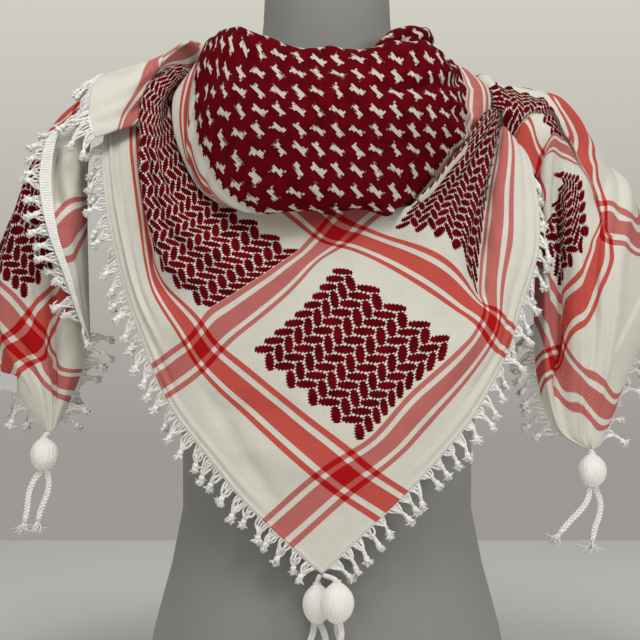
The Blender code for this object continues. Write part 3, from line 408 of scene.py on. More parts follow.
# The first layer turns back at the left tail's inner edge, so its own hem lies in front: columns from that
# hem to the turned edge.
LEFT_FLAP = (
    ((74, 122, 54), (79, 120, 58), (86, 122, 60), (92, 129, 58)),
    ((50, 140, 62), (62, 138, 64), (78, 139, 60), (90, 144, 51)),
    ((42, 172, 65), (56, 172, 66), (74, 173, 60), (87, 176, 43)),
    ((43, 202, 67), (57, 203, 66), (75, 204, 60), (87, 206, 42)),
    ((51, 236, 67), (62, 238, 66), (77, 239, 59), (87, 240, 40)),
    ((67, 279, 63), (74, 280, 62), (82, 281, 55), (88, 282, 38)),
    ((80, 318, 55), (83, 318, 54), (87, 319, 48), (89, 320, 37)),
    ((88, 343, 45), (89, 343, 43), (90, 344, 39), (90, 345, 34)),
)

NECK_Y = 10.0           # the neck's centre, mm behind the form's


def upright_sections(table, columns):
    """Places across an upright band, from its top edge to its bottom edge, swelling away from the neck."""
    x, y, top, bottom, bulge, top_lean, bottom_lean = np.array(table, float).T[..., None]
    share = np.linspace(0, 1, columns)
    swell = bulge * np.sin(math.pi * share) - top_lean * (1 - share) ** 2 - bottom_lean * share ** 2
    way = unit(np.concatenate([x, y - NECK_Y], -1))
    out = (x + way[:, :1] * swell, y + way[:, 1:] * swell, top + (bottom - top) * share)
    return np.stack(out, -1) * 0.001


def sash(wrap, *hanging):
    """The surface of one end, from the side of the neck round the back and over the other shoulder."""
    over = drawn([row for table in hanging for row in table])
    return loft(np.concatenate([upright_sections(wrap, over.shape[1]), over]))


# ---------------------------------------------------------------- materials
def shader_math(operation):
    """A method that applies one operation of the shader's arithmetic."""
    def apply(self, *others):
        return self.node(operation, *others)
    return apply


class Sum:
    """A number worked out by shader nodes, so that a pattern reads like arithmetic."""

    __add__, __sub__, __mul__, __truediv__, __abs__, floor, most, least, power = map(shader_math, (
        "ADD", "SUBTRACT", "MULTIPLY", "DIVIDE", "ABSOLUTE", "FLOOR", "MAXIMUM", "MINIMUM", "POWER"))

    def __init__(self, tree, socket):
        self.tree, self.socket = tree, socket

    def node(self, operation, *others, clamp=False):
        made = self.tree.nodes.new("ShaderNodeMath")
        made.operation = operation
        made.use_clamp = clamp
        for slot, item in zip(made.inputs, (self, *others)):
            if isinstance(item, Sum):
                self.tree.links.new(item.socket, slot)
            else:
                slot.default_value = item
        return Sum(self.tree, made.outputs[0])

    def __neg__(self):
        return self * -1

    def wave(self, pitch):
        """A sine from -1 to 1 that repeats every pitch."""
        return (self * (2 * math.pi / pitch)).node("SINE")

    def under(self, other, soft=0.02):
        """1 where the number is below the other, 0 above."""
        return ((self - other) / -soft + 0.5).node("ADD", 0.0, clamp=True)

    def over(self, other, soft=0.02):
        return ((self - other) / soft + 0.5).node("ADD", 0.0, clamp=True)

    def within(self, low, high, soft=0.02):
        return self.over(low, soft) * self.under(high, soft)

    def other_than(self):
        """What is left of 1."""
        return self * -1 + 1

    def blend(self, one, zero):
        """One where the number is 1, the other where it is 0."""
        if not isinstance(one, Sum):
            return self * one + self.other_than() * zero
        return self * (one - zero) + zero


def axes(tree, vector):
    """The three numbers of a vector."""
    split = tree.nodes.new("ShaderNodeSeparateXYZ")
    tree.links.new(vector, split.inputs[0])
    return [Sum(tree, socket) for socket in split.outputs]


def mapped(tree, name):
    """The coordinates of a UV map."""
    made = tree.nodes.new("ShaderNodeUVMap")
    made.uv_map = name
    return made.outputs[0]


def noise(tree, vector, scale, detail=2.0):
    made = tree.nodes.new("ShaderNodeTexNoise")
    made.inputs["Scale"].default_value = scale
    made.inputs["Detail"].default_value = detail
    tree.links.new(vector, made.inputs["Vector"])
    return Sum(tree, made.outputs[0])


def mixed(tree, share, zero, one, blend_type="MIX"):
    """A colour between two; a colour is a triple or a socket."""
    made = tree.nodes.new("ShaderNodeMix")
    made.data_type = "RGBA"
    made.blend_type = blend_type
    colours = [s for s in made.inputs if s.type == "RGBA"]
    if isinstance(share, Sum):
        tree.links.new(share.socket, made.inputs[0])
    else:
        made.inputs[0].default_value = share
    for slot, colour in zip(colours, (zero, one)):
        if isinstance(colour, tuple):
            slot.default_value = (*colour, 1)
        else:
            tree.links.new(colour, slot)
    return next(s for s in made.outputs if s.type == "RGBA")


def plain(name, colour, roughness, sheen=0.0, gloss=0.15):
    """A material with its uniform values on the shader's own sockets."""
    made = bpy.data.materials.new(name)
    made.use_nodes = True
    shader = made.node_tree.nodes["Principled BSDF"]
    shader.inputs["Base Color"].default_value = (*colour, 1)
    shader.inputs["Specular IOR Level"].default_value = gloss
    shader.inputs["Roughness"].default_value = roughness
    shader.inputs["Sheen Weight"].default_value = sheen
    shader.inputs["Sheen Roughness"].default_value = 0.5
    return made


def bumped(material, height, distance, strength=1.0):
    tree = material.node_tree
    bump = tree.nodes.new("ShaderNodeBump")
    bump.inputs["Strength"].default_value = strength
    bump.inputs["Distance"].default_value = distance
    tree.links.new(height.socket, bump.inputs["Height"])
    tree.links.new(bump.outputs[0], tree.nodes["Principled BSDF"].inputs["Normal"])


WHITE_COTTON = (0.68, 0.665, 0.595)
FIGURE_WHITE = (0.54, 0.495, 0.455)
STRIPE_P_TINT = (0.80, 0.088, 0.076)
STRIPE_Q_TINT = (0.72, 0.140, 0.145)
FLOAT_RED = (0.155, 0.0009, 0.0055)
FLOAT_DEEP = (0.078, 0.0006, 0.0032)
CROSSING_RED = (0.42, 0.007, 0.009)
FIGURE_STEP = 1.55      # steps of the middle's figured weave, mm
FIGURE = 21.2           # pitch of the middle's figure, mm
RIB = 1.5               # pitch of the cotton's fine ribs, mm
WIDE_HALF, THIN_AWAY, THIN_HALF = 7.2, 14.0, 2.3    # a band's stripes, from its middle, mm
BLOCK_P, BLOCK_Q = 97, 62                           # where the herringbone blocks start, mm from the hems
FLOAT_P, FLOAT_Q = 9.6, 9.9                         # their floats' pitch, mm
BLOCK_FLOATS_P, BLOCK_FLOATS_Q = 10.1, 10.6         # and how many floats make a block
NEXT_BLOCK_P, NEXT_BLOCK_Q = 17.4, 15.4             # the next block's start, in floats
CROSSING_Q = (180.0, 215.6)                         # the second band's bare strip, mm
MIDDLE_P, MIDDLE_Q = 266.0, 215.6                   # where the figured middle starts, mm
FLOAT_HALF, FLOAT_REACH = 0.485, 0.92               # a float's half width and its length, of its cell
TOOTH, TOOTH_DEPTH = 1 / 3, 0.10                    # the teeth along its sides


def stripes(across, middle):
    """A band of the border: one wide stripe between two thin ones."""
    away = abs(across - middle)
    return away.under(WIDE_HALF, 0.5).most(abs(away - THIN_AWAY).under(THIN_HALF, 0.5))


def leaf(along, across):
    """An oval float with toothed sides, from -1 to 1 along it."""
    toothed = abs(across + along.wave(TOOTH) * TOOTH_DEPTH)
    return (abs(along).power(2.2) + (toothed / FLOAT_HALF).power(2.2)).under(1.0, 0.2)


def herringbone(p, q):
    """The border blocks: long floats laid as a herringbone, whole at the blocks' edges."""
    s, t = (p - BLOCK_P) / FLOAT_P, (q - BLOCK_Q) / FLOAT_Q
    x, y = s - t, s + t
    column, row = x.floor(), y.floor()
    part = (column - row).node("FLOORED_MODULO", 4.0)
    level = part.under(1.5)
    first = abs(part - 1.5).over(1.0)
    in_x, in_y = x - column, y - row
    along = level.blend(in_x, in_y) - first
    across = level.blend(in_y, in_x) - 0.5
    centre_s = s - (along + across) / 2
    lean = (across - along) / 2
    centre_t = t - level.blend(lean, -lean)
    on_left, on_right = centre_s.within(0.0, BLOCK_FLOATS_P), centre_t.within(0.0, BLOCK_FLOATS_Q)
    block = on_left * (on_right.most(centre_t.over(NEXT_BLOCK_Q))) + on_right * centre_s.over(NEXT_BLOCK_P)
    clear = q.over(BLOCK_Q - 0.2, 0.3) * q.within(*CROSSING_Q, 0.3).other_than()
    return leaf(along * FLOAT_REACH, across) * block.least(1.0) * clear


def field(p, q, rough, size):
    """The middle of the cloth: crowded floats that leave small white bones, turned by turns."""
    x, y = (p - q) / FIGURE, (p + q) / FIGURE
    column, row = x.floor(), y.floor()
    turned = (column + row).node("FLOORED_MODULO", 2.0).over(0.5)
    in_x, in_y = x - column - 0.5, y - row - 0.5
    across_share, down_share = turned.blend(0.86, 0.56), turned.blend(0.51, 0.83)
    along = abs(in_x * across_share - in_y * down_share)
    aside = abs(in_x * down_share + in_y * across_share)
    bone = (aside / (along * 0.20 + 0.085)).most((along - aside * 0.55) / 0.315)
    bones = (bone + rough * 0.5 - size).under(1.0, 0.08)
    edge_p = p - abs(q.wave(FIGURE)) * 4.0
    edge_q = q - abs(p.wave(FIGURE)) * 2.0
    return edge_p.over(MIDDLE_P, 0.3) * edge_q.over(MIDDLE_Q, 0.3) * bones.other_than()


def printed_cotton():
    """White cotton with red border stripes, herringbone blocks and a figured middle."""
    made = plain("printed_cotton", WHITE_COTTON, 0.95, 0.0, 0.06)
    tree = made.node_tree
    flat = mapped(tree, "cloth")
    p, q = (way * 1000 for way in axes(tree, flat)[:2])
    fine = noise(tree, flat, 900.0) - 0.5
    figure_p, figure_q = (((n / FIGURE_STEP).floor() + 0.5) * FIGURE_STEP for n in (p, q))
    uneven = (noise(tree, flat, 45.0) - 0.5) * 0.7
    floats = herringbone(p + fine * 0.5, q + fine * 0.5).most(field(figure_p, figure_q, fine, uneven))
    ribs = p.wave(RIB) * 0.5 + q.wave(RIB) * 0.5
    soft = noise(tree, flat, 60.0, 3.0)
    stripe_p = stripes(p, P_BAND).most(stripes(p, P_BAND_2))
    stripe_q = stripes(q, Q_BAND).most(stripes(q, Q_BAND_2))
    colour = mixed(tree, stripe_p * (ribs * 0.05 + 0.95), WHITE_COTTON,
                   tuple(a * b for a, b in zip(WHITE_COTTON, STRIPE_P_TINT)))
    colour = mixed(tree, stripe_q * (ribs * 0.10 + 0.90), colour, STRIPE_Q_TINT, "MULTIPLY")
    colour = mixed(tree, stripe_p * stripe_q, colour, CROSSING_RED)
    middle = p.over(MIDDLE_P - 2, 4.0) * q.over(MIDDLE_Q - 1.6, 4.0)
    colour = mixed(tree, middle, colour, FIGURE_WHITE)
    patches = noise(tree, flat, 95.0).over(0.5, 0.3) * (middle * -0.45 + 1)
    colour = mixed(tree, floats, colour, mixed(tree, patches, FLOAT_DEEP, FLOAT_RED))
    shade = (ribs * 0.015 + 0.985) * (soft * 0.12 + 0.94)
    grey = tree.nodes.new("ShaderNodeCombineColor")
    for slot in grey.inputs[:3]:
        tree.links.new(shade.socket, slot)
    colour = mixed(tree, 1.0, colour, grey.outputs[0], "MULTIPLY")
    tree.links.new(colour, tree.nodes["Principled BSDF"].inputs["Base Color"])
    bumped(made, ribs * 0.25 + floats * 0.35 + fine * 0.8 + soft * 3.0, 0.0004, 0.7)
    return made


def own_place(tree):
    """Places in the object's own metres."""
    return tree.nodes.new("ShaderNodeTexCoord").outputs["Object"]


def jersey():
    """The form's fine grey cover."""
    made = plain("grey_jersey_cover", (0.275, 0.275, 0.264), 0.92, 0.1, 0.1)
    tree = made.node_tree
    bumped(made, noise(tree, own_place(tree), 900.0), 0.0003, 0.5)
    return made


def label_tape():
    """The bare woven label's pale satin, with ribs 0.9 mm apart."""
    made = plain("label_tape", (0.56, 0.56, 0.55), 0.45, 0.1, 0.3)
    tree = made.node_tree
    height = axes(tree, own_place(tree))[2]
    bumped(made, (height * 1000).wave(0.9), 0.00015, 0.6)
    return made


# ---------------------------------------------------------------- meshes
def linked(name, data):
    """A new object in the scene."""
    made = bpy.data.objects.new(name, data)
    bpy.context.scene.collection.objects.link(made)
    return made


def show(name, mesh, look, slot, *nodes):
    """A piece of the object that rides on its body and stands for CAD nodes."""
    mesh.materials.append(look)
    made = linked(name, mesh)
    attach(made, "root")
    if nodes:
        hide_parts(*nodes)
    return made


def chart(mesh, name, coordinates):
    """A UV map with one place for each vertex."""
    layer = mesh.uv_layers.new(name=name)
    corner = np.zeros(len(mesh.loops), np.int32)
    mesh.loops.foreach_get("vertex_index", corner)
    layer.data.foreach_set("uv", coordinates[corner].astype(np.float32).ravel())


def shell(name, middle, facing, coordinates, kept=None, wall=WALL):
    """A thin closed shell of cloth round a grid of places, with the flat cloth's metres as its UV map.

    kept says which of the grid's squares are there.
    """
    rows, columns = middle.shape[:2]
    if kept is None:
        kept = np.ones((rows - 1, columns - 1), bool)
    half = facing * wall / 2
    index = np.arange(rows * columns).reshape(rows, columns)
    quads = np.stack([index[:-1, :-1], index[:-1, 1:], index[1:, 1:], index[1:, :-1]], -1)[kept]
    behind = rows * columns
    edges = np.concatenate([quads[:, [i, (i + 1) % 4]] for i in range(4)])
    key = np.sort(edges, 1) @ (behind, 1)
    first, count = np.unique(key, return_index=True, return_counts=True)[1:]
    rim = edges[first[count == 1]]
    sides = np.stack([rim[:, 1], rim[:, 0], rim[:, 0] + behind, rim[:, 1] + behind], 1)
    faces = np.concatenate([quads, quads[:, ::-1] + behind, sides])
    points = np.concatenate([(middle + half).reshape(-1, 3), (middle - half).reshape(-1, 3)])
    flat = np.concatenate([coordinates.reshape(-1, 2)] * 2)
    used = np.unique(faces)
    renumber = np.full(len(points), -1)
    renumber[used] = np.arange(len(used))
    mesh = bpy.data.meshes.new(name)
    mesh.from_pydata(points[used].tolist(), [], renumber[faces].tolist())
    chart(mesh, "cloth", flat[used] / 1000)
    mesh.shade_smooth()
    return mesh


def spaced(start, end, step, *extra):
    """Evenly spaced lines from start to end, with a few extra ones."""
    count = max(1, round((end - start) / step))
    return np.unique(np.concatenate([np.linspace(start, end, count + 1), extra]))


def smooth(share):
    share = np.clip(share, 0, 1)
    return share * share * (3 - 2 * share)


def creased(flat, creases):
    """How far the cloth is pushed out at flat points; a crease is (u, v, u, v, width, height)."""
    out = np.zeros(flat.shape[:-1])
    for u0, v0, u1, v1, width, height in creases:
        start, way = np.array([u0, v0]), np.array([u1 - u0, v1 - v0])
        length = np.hypot(*way)
        way = way / length
        off = flat - start
        along = (off @ way) / length
        aside = off @ (-way[1], way[0])
        fade = smooth(along / 0.25 + 0.5) * smooth((1 - along) / 0.25 + 0.5)
        out += height * 0.001 * fade * np.exp(-(aside / width) ** 2)
    return out


# ---------------------------------------------------------------- cloth pieces
PANEL_SIZE = (415, 450)         # the front's flat cloth, from its left and its right hem, mm
PANEL_STEP = 2.5                # its mesh, mm
HEM_LINES = (0.8, 1.6, 2.4, 3.2, 4.2, 5.4)      # closer mesh lines at the hems
# Parts of the front that are made, from p, to p, from q, to q; the rest would lie unseen under the cowl.
PANEL_KEPT = (
    (0, 296, 0, 262), (0, 196, 262, 451), (0, 214, 262, 300), (296, 416, 0, 176),
)


def hem_bead(away):
    """The rolled hem stands a little proud of the cloth."""
    return 0.0007 * np.exp(-((away - 1.7) / 1.5) ** 2)


# Creases of the cloth: from (p, q), to (p, q), half width and height, all in millimetres.
FRONT_CREASES = (
    (9, 70, 9, 330, 2.4, 1.6), (16, 190, 15, 410, 2.6, -1.6), (24, 230, 21, 430, 3.6, 2.2),
    (33, 250, 33, 400, 4.0, -1.8), (110, 9, 340, 8, 2.4, 1.4), (170, 17, 390, 15, 3.0, -1.4),
    (30, 120, 64, 60, 13, 2.3), (18, 60, 44, 170, 8, -2.2), (44, 150, 82, 108, 10, -1.6),
    (210, 230, 120, 150, 20, 2.5), (150, 90, 250, 150, 17, -2.3), (215, 60, 140, 36, 12, 2.2),
    (90, 40, 160, 70, 14, -1.6), (112, 228, 104, 330, 6, 2.7), (130, 245, 118, 400, 5, -2.9),
    (148, 236, 134, 380, 5, 3.2), (168, 250, 150, 360, 6, -3.2), (110, 330, 125, 410, 4, 2.9),
    (290, 60, 400, 66, 5, -2.3), (270, 90, 390, 84, 5, 2.7), (300, 120, 400, 104, 6, -2.9),
)


def front_cloth(front, cotton):
    """The bib with its two side folds; the left fold's lines are drawn together below its slanting top."""
    flat = lattice(*(spaced(0, size, PANEL_STEP, *HEM_LINES) for size in PANEL_SIZE))
    p, q = flat[..., 0].copy(), flat[..., 1].copy()
    top = 415 - 15 * np.clip((p - 45) / 35, 0, 1) + 50 * smooth((p - 90) / 12)
    stretch = smooth((q - 330) / 120)
    flat[..., 1] = np.where(p <= 200, q - stretch * (PANEL_SIZE[1] - top), q)
    centre_p = (p[:-1, :-1] + p[1:, 1:]) / 2
    centre_q = (q[:-1, :-1] + q[1:, 1:]) / 2
    kept = np.zeros(centre_p.shape, bool)
    for from_p, to_p, from_q, to_q in PANEL_KEPT:
        kept |= (centre_p >= from_p) & (centre_p < to_p) & (centre_q >= from_q) & (centre_q < to_q)
    push = creased(flat, FRONT_CREASES) + hem_bead(p) + hem_bead(q)
    facing = normals(front, flat, 1.0)
    middle = front(flat) + facing * push[..., None]
    made = show("front_cloth", shell("front_cloth", middle, facing, flat, kept), cotton, "printed_cotton",
                "front_panel", "left_margin", "left_fold", "right_fold")
    return made


COWL_MIDDLE = (299.4, 254.6)    # the flat cloth's place at the cowl's own (0, 0), mm
COWL_MESH = (190, 110)


def cowl_flat(a, b):
    """The flat cloth's coordinates of the cowl's own lines, which lie at 45 degrees to its hems."""
    return np.stack([COWL_MIDDLE[0] + 0.707 * (a + b), COWL_MIDDLE[1] + 0.707 * (b - a)], -1)


# The cowl's creases, by its own lines: from (a, b), to (a, b), half width and height, in millimetres.
COWL_CREASES = (
    (36, 100, 150, 110, 6, -4.0), (60, 110, 170, 122, 6, 2.0), (-50, 118, 36, 98, 11, 1.6),
    (-120, 96, -60, 120, 7, -2.8), (-110, 84, -40, 104, 8, 2.0), (-150, 60, -110, 120, 5, 2.2),
    (-168, 50, -128, 112, 4, -2.2), (-140, 20, -96, 60, 6, -1.9), (100, 92, 168, 74, 4, 2.1),
    (104, 84, 172, 58, 3.6, -2.2), (96, 74, 160, 44, 4.5, 2.1), (90, 60, 148, 24, 4, -2.0),
    (112, 102, 176, 100, 3.6, 2.0), (-60, 30, 30, 14, 12, 1.8), (-30, 60, 90, 50, 16, -2.0),
    (20, 4, 96, 16, 7, -1.6), (-80, 8, -20, 2, 7, 1.5),
)


def cowl_cloth(front, cotton):
    """The loose stretch across the throat."""
    surface = cowl_surface(front)
    share_u, share_v = lattice(*(np.linspace(0, 1, count) for count in COWL_MESH)).transpose(2, 0, 1)
    low, high = cowl_edge(1)(share_v), cowl_edge(2)(share_v)
    a, b = low + (high - low) * share_u, COWL_SEAT_B + (COWL_TOP_B - COWL_SEAT_B) * share_v
    flat = np.stack([a, b], -1)
    facing = normals(surface, flat, 1.0)
    middle = surface(flat) + facing * creased(flat, COWL_CREASES)[..., None]
    mesh = shell("cowl_cloth", middle, facing, cowl_flat(a, b))
    made = show("cowl_cloth", mesh, cotton, "printed_cotton", "cowl")
    return made


ROLL_CREASES = (
    (10, 4, 70, 40, 6, 2.2), (40, -2, 96, 30, 4, -2.4), (66, 2, 112, 42, 5, 2.4), (92, -4, 140, 30, 4, -2.2),
    (120, 8, 160, 46, 6, 2.0), (150, 0, 200, 26, 5, -2.2), (190, 6, 236, 40, 7, 2.2),
    (226, 0, 280, 34, 5, -2.0), (268, 10, 320, 44, 6, 2.2), (312, -2, 350, 30, 5, -2.4),
    (350, 4, 400, 40, 6, 2.0), (392, 0, 432, 34, 4, -2.2), (420, 10, 470, 44, 6, 2.2),
    (462, 0, 506, 30, 5, -2.2), (500, 6, 552, 40, 6, 2.0),
)


ROLL_SIZE = (560, 45)           # the roll's flat cloth, round the neck and over the rim, mm
ROLL_MESH = (240, 26)
ROLL_RISE = 0.7                 # the share of it that goes up; the rest turns over the rim
ROLL_INSET, ROLL_BACK = 8, 8    # how far its foot stands inside the sections and behind them, mm
ROLL_SWELL, ROLL_TURN, ROLL_DROP = 9, 8, 7      # how far it swells out, turns in and drops inside, mm


def roll_cloth(cotton):
    """The folded edge round the neck: its wall goes up, over the rim and a little way down inside."""
    table = np.array(ROLL_SECTIONS, float)
    turns, levels = ROLL_MESH
    wrapped = np.vstack([table[-2:] - (360, 0, 0, 0, 0), table, table[:2] + (360, 0, 0, 0, 0)])
    at = np.interp(np.linspace(0, 360, turns), wrapped[:, 0], np.arange(len(wrapped)))
    turn, wide, deep, top, bottom = (spline_matrix(len(wrapped), at) @ wrapped).T
    angle = np.radians(turn)
    share = np.linspace(0, 1, levels)[:, None]
    rise = np.clip(share / ROLL_RISE, 0, 1)
    over = np.clip((share - ROLL_RISE) / (1 - ROLL_RISE), 0, 1)
    out = ROLL_SWELL * np.sin(rise * math.pi * 0.9) - ROLL_INSET - ROLL_TURN * np.sin(over * math.pi / 2)
    height = bottom + (top - bottom) * np.sin(rise * math.pi / 2) - ROLL_DROP * over ** 2
    middle = np.stack([np.sin(angle) * (wide + out), ROLL_BACK - np.cos(angle) * (deep + out), height], -1)
    middle *= 0.001
    facing = unit(np.cross(np.gradient(middle, axis=1), np.gradient(middle, axis=0)))
    flat = lattice(np.linspace(0, ROLL_SIZE[0], turns), share[:, 0] * ROLL_SIZE[1])
    middle = middle + facing * (creased(flat, ROLL_CREASES) * np.sin(share * math.pi))[..., None]
    a, b = (flat[..., 0] - ROLL_SIZE[0] / 2) * 1.25, flat[..., 1] + 0.25 * np.abs(flat[..., 0] - 90)
    mesh = shell("roll_cloth", middle, facing, cowl_flat(a, b) + 190)
    made = show("roll_cloth", mesh, cotton, "printed_cotton", "neck_roll")
    return made


def located(surface, spots):
    """The (u, v) of the front of a surface that is seen at each (across, down)."""
    flat = lattice(np.linspace(0, 1, 161), np.linspace(0, 1, 241))
    world = surface(flat)
    across, down = seen_at(world)
    found = []
    for x, y in spots:
        miss = np.hypot(across - x, down - y) + world[..., 1] * 150
        found.append(flat.reshape(-1, 2)[np.argmin(miss)])
    return np.array(found)


def flat_map(surface, seen, hidden=(), unrolled=None):
    """The flat coordinates at a surface's (u, v), through landmarks.

    seen is (across, down, p, q) on the front; hidden is (u, v, p, q); unrolled pulls folds open first.
    """
    seen = np.array(seen, float)
    hidden = np.array(hidden, float).reshape(-1, 4)
    at = np.vstack([located(surface, seen[:, :2]), hidden[:, :2]])
    goal = np.vstack([seen[:, 2:], hidden[:, 2:]])
    unrolled = unrolled or (lambda points: points)
    charted = bent_through(unrolled(at) * (1, 3), goal, 0.0006)
    return lambda points: charted(unrolled(points) * (1, 3))


# Landmarks of the cloth's pattern on each hanging end: across, down, and the distances from its two hems.
RIGHT_SEEN = (
    (592, 448, 0, 0), (610, 410, 2, 45), (612, 395, 3, 59), (605, 427, 2, 31), (565, 323, 70, 76),
    (582, 300, 70, 108), (593, 273, 70, 142), (600, 243, 70, 180), (562, 295, 84, 84), (587, 257, 84, 150),
    (565, 348, 56, 57), (587, 322, 56, 84), (602, 283, 56, 130), (612, 257, 56, 170), (583, 373, 30, 59),
    (582, 383, 26, 45), (577, 408, 15, 31), (558, 370, 48, 45), (555, 388, 40, 31), (636, 300, 16, 130),
    (641, 262, 10, 178), (560, 425, 14, 6), (610, 220, 50, 199), (627, 230, 34, 199), (638, 243, 20, 199),
    (604, 204, 56, 213), (625, 215, 36, 213), (609, 243, 58, 185), (633, 252, 22, 185), (585, 240, 97, 158),
    (574, 260, 97, 132), (561, 281, 97, 104), (554, 166, 193, 166), (561, 186, 193, 140),
    (562, 212, 170, 122), (576, 172, 150, 166), (548, 160, 218, 166), (545, 158, 235, 185),
    (541, 140, 235, 215), (543, 176, 235, 160), (544, 204, 235, 132), (560, 147, 190, 199),
    (549, 144, 215, 202), (576, 160, 150, 190), (557, 133, 178, 217), (552, 121, 176, 232),
    (546, 117, 186, 242), (541, 127, 206, 226), (537, 113, 205, 248), (552, 214, 190, 104),
    (543, 234, 192, 80), (541, 259, 186, 61), (550, 274, 168, 61), (559, 290, 148, 62), (547, 307, 130, 45),
    (536, 288, 156, 45), (558, 332, 99, 45), (533, 316, 130, 31), (547, 348, 88, 31), (557, 365, 70, 33),
    (535, 378, 70, 12), (558, 347, 84, 40), (534, 361, 84, 16), (555, 377, 56, 27), (538, 396, 56, 7),
    (568, 139, 84, 272), (563, 127, 84, 288), (554, 110, 84, 306), (541, 99, 84, 326), (522, 91, 86, 348),
    (580, 148, 70, 258), (575, 130, 70, 282), (566, 113, 70, 302), (593, 172, 56, 246), (590, 150, 56, 270),
    (604, 172, 30, 246), (510, 93, 97, 364), (534, 102, 97, 334), (488, 88, 97, 395), (512, 116, 150, 372),
    (536, 106, 116, 330), (489, 104, 150, 402), (498, 92, 110, 382),
)
RIGHT_HIDDEN = (
    (0, 0, 190, 700), (1, 0, 40, 700), (0, 0.2, 180, 560), (1, 0.2, 30, 560), (0.5, 0.1, 110, 630),
    (1, 0.37, 15, 415), (0.6, 0.37, 62, 410), (1, 0.5, 6, 320), (0.75, 0.5, 50, 320), (1, 0.63, 2, 250),
    (1, 0.74, 2, 180), (1, 0.85, 2, 100),
)
# Where cloth is tucked out of sight under a fold: u and the section's number along the fold, and how much
# of u it hides.
RIGHT_OVERLAP = ((0.0, 4.5, 0.0), (0.0, 8.0, 0.5), (0.02, 8.3, 0.5), (0.20, 9.8, 0.5), (0.24, 10.5, 0.5),
                 (0.25, 11.0, 0.5), (0.262, 11.5, 0.46), (0.305, 11.9, 0.43), (0.33, 12.0, 0.42),
                 (0.395, 12.5, 0.36), (0.485, 13.2, 0.24), (0.575, 14.0, 0.08), (0.61, 14.4, 0.0))
RIGHT_VALLEY = ((0.25, 12.9, 0.0), (0.25, 13.5, 0.1), (0.256, 14.3, 0.26), (0.262, 16.1, 0.22),
                (0.25, 16.6, 0.18), (0.206, 17.2, 0.1), (0.175, 17.7, 0.0))
RIGHT_HEM_FOLD = ((0.86, 15.3, 0.0), (0.79, 15.9, 0.0), (0.70, 16.5, 0.0), (0.59, 17.0, 0.0))
RIGHT_CREASES = (
    (100, 20, 104, 250, 6, 3.0), (70, 0, 66, 240, 5, -3.0), (40, 10, 34, 236, 5, 2.6),
    (130, 30, 128, 240, 6, -2.8), (20, 60, 16, 230, 4, -2.4), (150, 20, 152, 230, 5, 2.4),
    (86, 240, 96, 350, 4, -2.2), (60, 245, 62, 350, 5, 2.4), (72, 300, 84, 400, 4, 1.8),
    (120, 330, 118, 430, 6, -2.4), (132, 400, 108, 560, 7, 2.6), (96, 440, 84, 600, 5, -2.4),
    (118, 430, 100, 590, 4, -1.8), (70, 470, 76, 590, 4, 2.0), (20, 470, 22, 590, 4, 2.0),
    (32, 400, 30, 520, 3, -1.6), (150, 330, 156, 520, 6, 2.6), (164, 300, 166, 480, 4, -2.2),
    (108, 560, 92, 612, 4, 1.6), (56, 420, 50, 470, 4, 1.4),
)
LEFT_SHOULDER_SEEN = (
    (115, 73, 185, 0), (97, 137, 110, 0), (103, 105, 148, 0), (164, 58, 185, 31), (150, 69, 172, 31),
    (141, 87, 150, 31), (131, 102, 133, 31), (120, 124, 112, 31), (177, 56, 180, 45), (147, 92, 150, 45),
    (140, 105, 130, 45), (127, 122, 112, 45),
)
LEFT_SHOULDER_HIDDEN = (
    (0, 0, 120, 335), (1, 0, 270, 335), (0, 0.3, 115, 215), (1, 0.3, 270, 215), (0, 0.64, 120, 85),
    (1, 0.64, 268, 85), (1, 0.8, 264, 45), (1, 1, 262, 0), (0.45, 0.5, 190, 140),
)
LEFT_SHOULDER_CREASES = (
    (34, 262, 30, 392, 13, 4.5), (8, 250, 12, 380, 4, -2.6), (54, 236, 57, 384, 5, -4.0),
    (46, 270, 42, 330, 3, 2.0), (24, 300, 18, 384, 3, -2.0), (68, 240, 64, 370, 5, 2.8),
    (18, 20, 12, 230, 5, 2.6), (36, 0, 34, 236, 5, -3.0), (52, 30, 58, 240, 6, 3.0),
    (76, 0, 72, 230, 6, -2.8), (92, 40, 98, 300, 6, 2.8), (110, 20, 106, 330, 5, -2.4),
)
LEFT_SEEN = (
    (50, 432, 0, 0), (69, 399, 0, 31), (76, 382, 0, 45), (82, 371, 0, 59), (88, 350, 0, 80),
    (94, 94, 235, 199), (78, 104, 235, 185), (60, 117, 235, 168), (48, 132, 218, 160), (36, 419, 16, 2),
    (25, 405, 31, 2), (16, 385, 55, 1), (1, 362, 80, 0), (30, 364, 56, 31), (31, 357, 60.5, 35.5),
    (46, 342, 60.5, 54.5), (30, 322, 79.5, 54.5), (14, 339, 79.5, 35.5), (0, 352, 79.5, 17),
    (12, 376, 60.5, 8), (2, 305, 104, 45), (0, 329, 93, 31), (5, 292, 108, 54.5), (48, 359, 49, 45),
    (54, 377, 24, 45), (54, 366, 25, 54.5), (54, 393, 14, 31), (55, 350, 38, 66), (44, 318, 70, 68),
    (53, 305, 70, 84), (63, 297, 70, 98), (38, 157, 193, 152), (24, 200, 160, 110), (48, 200, 128, 150),
    (8, 250, 140, 84), (66, 128, 205, 180), (86, 306, 43, 114), (86, 240, 76, 157), (86, 160, 120, 200),
)
LEFT_CREASES = (
    (48, 178, 46, 280, 3.2, -4.5), (30, 60, 34, 250, 6, 3.0), (70, 80, 66, 220, 6, -3.3),
    (92, 60, 98, 260, 6, 2.7), (110, 90, 114, 240, 5, -3.0), (130, 70, 134, 260, 6, 3.0),
    (150, 40, 152, 220, 5, -2.7), (60, 200, 58, 300, 4, 2.4), (82, 230, 70, 300, 4, -2.2),
)
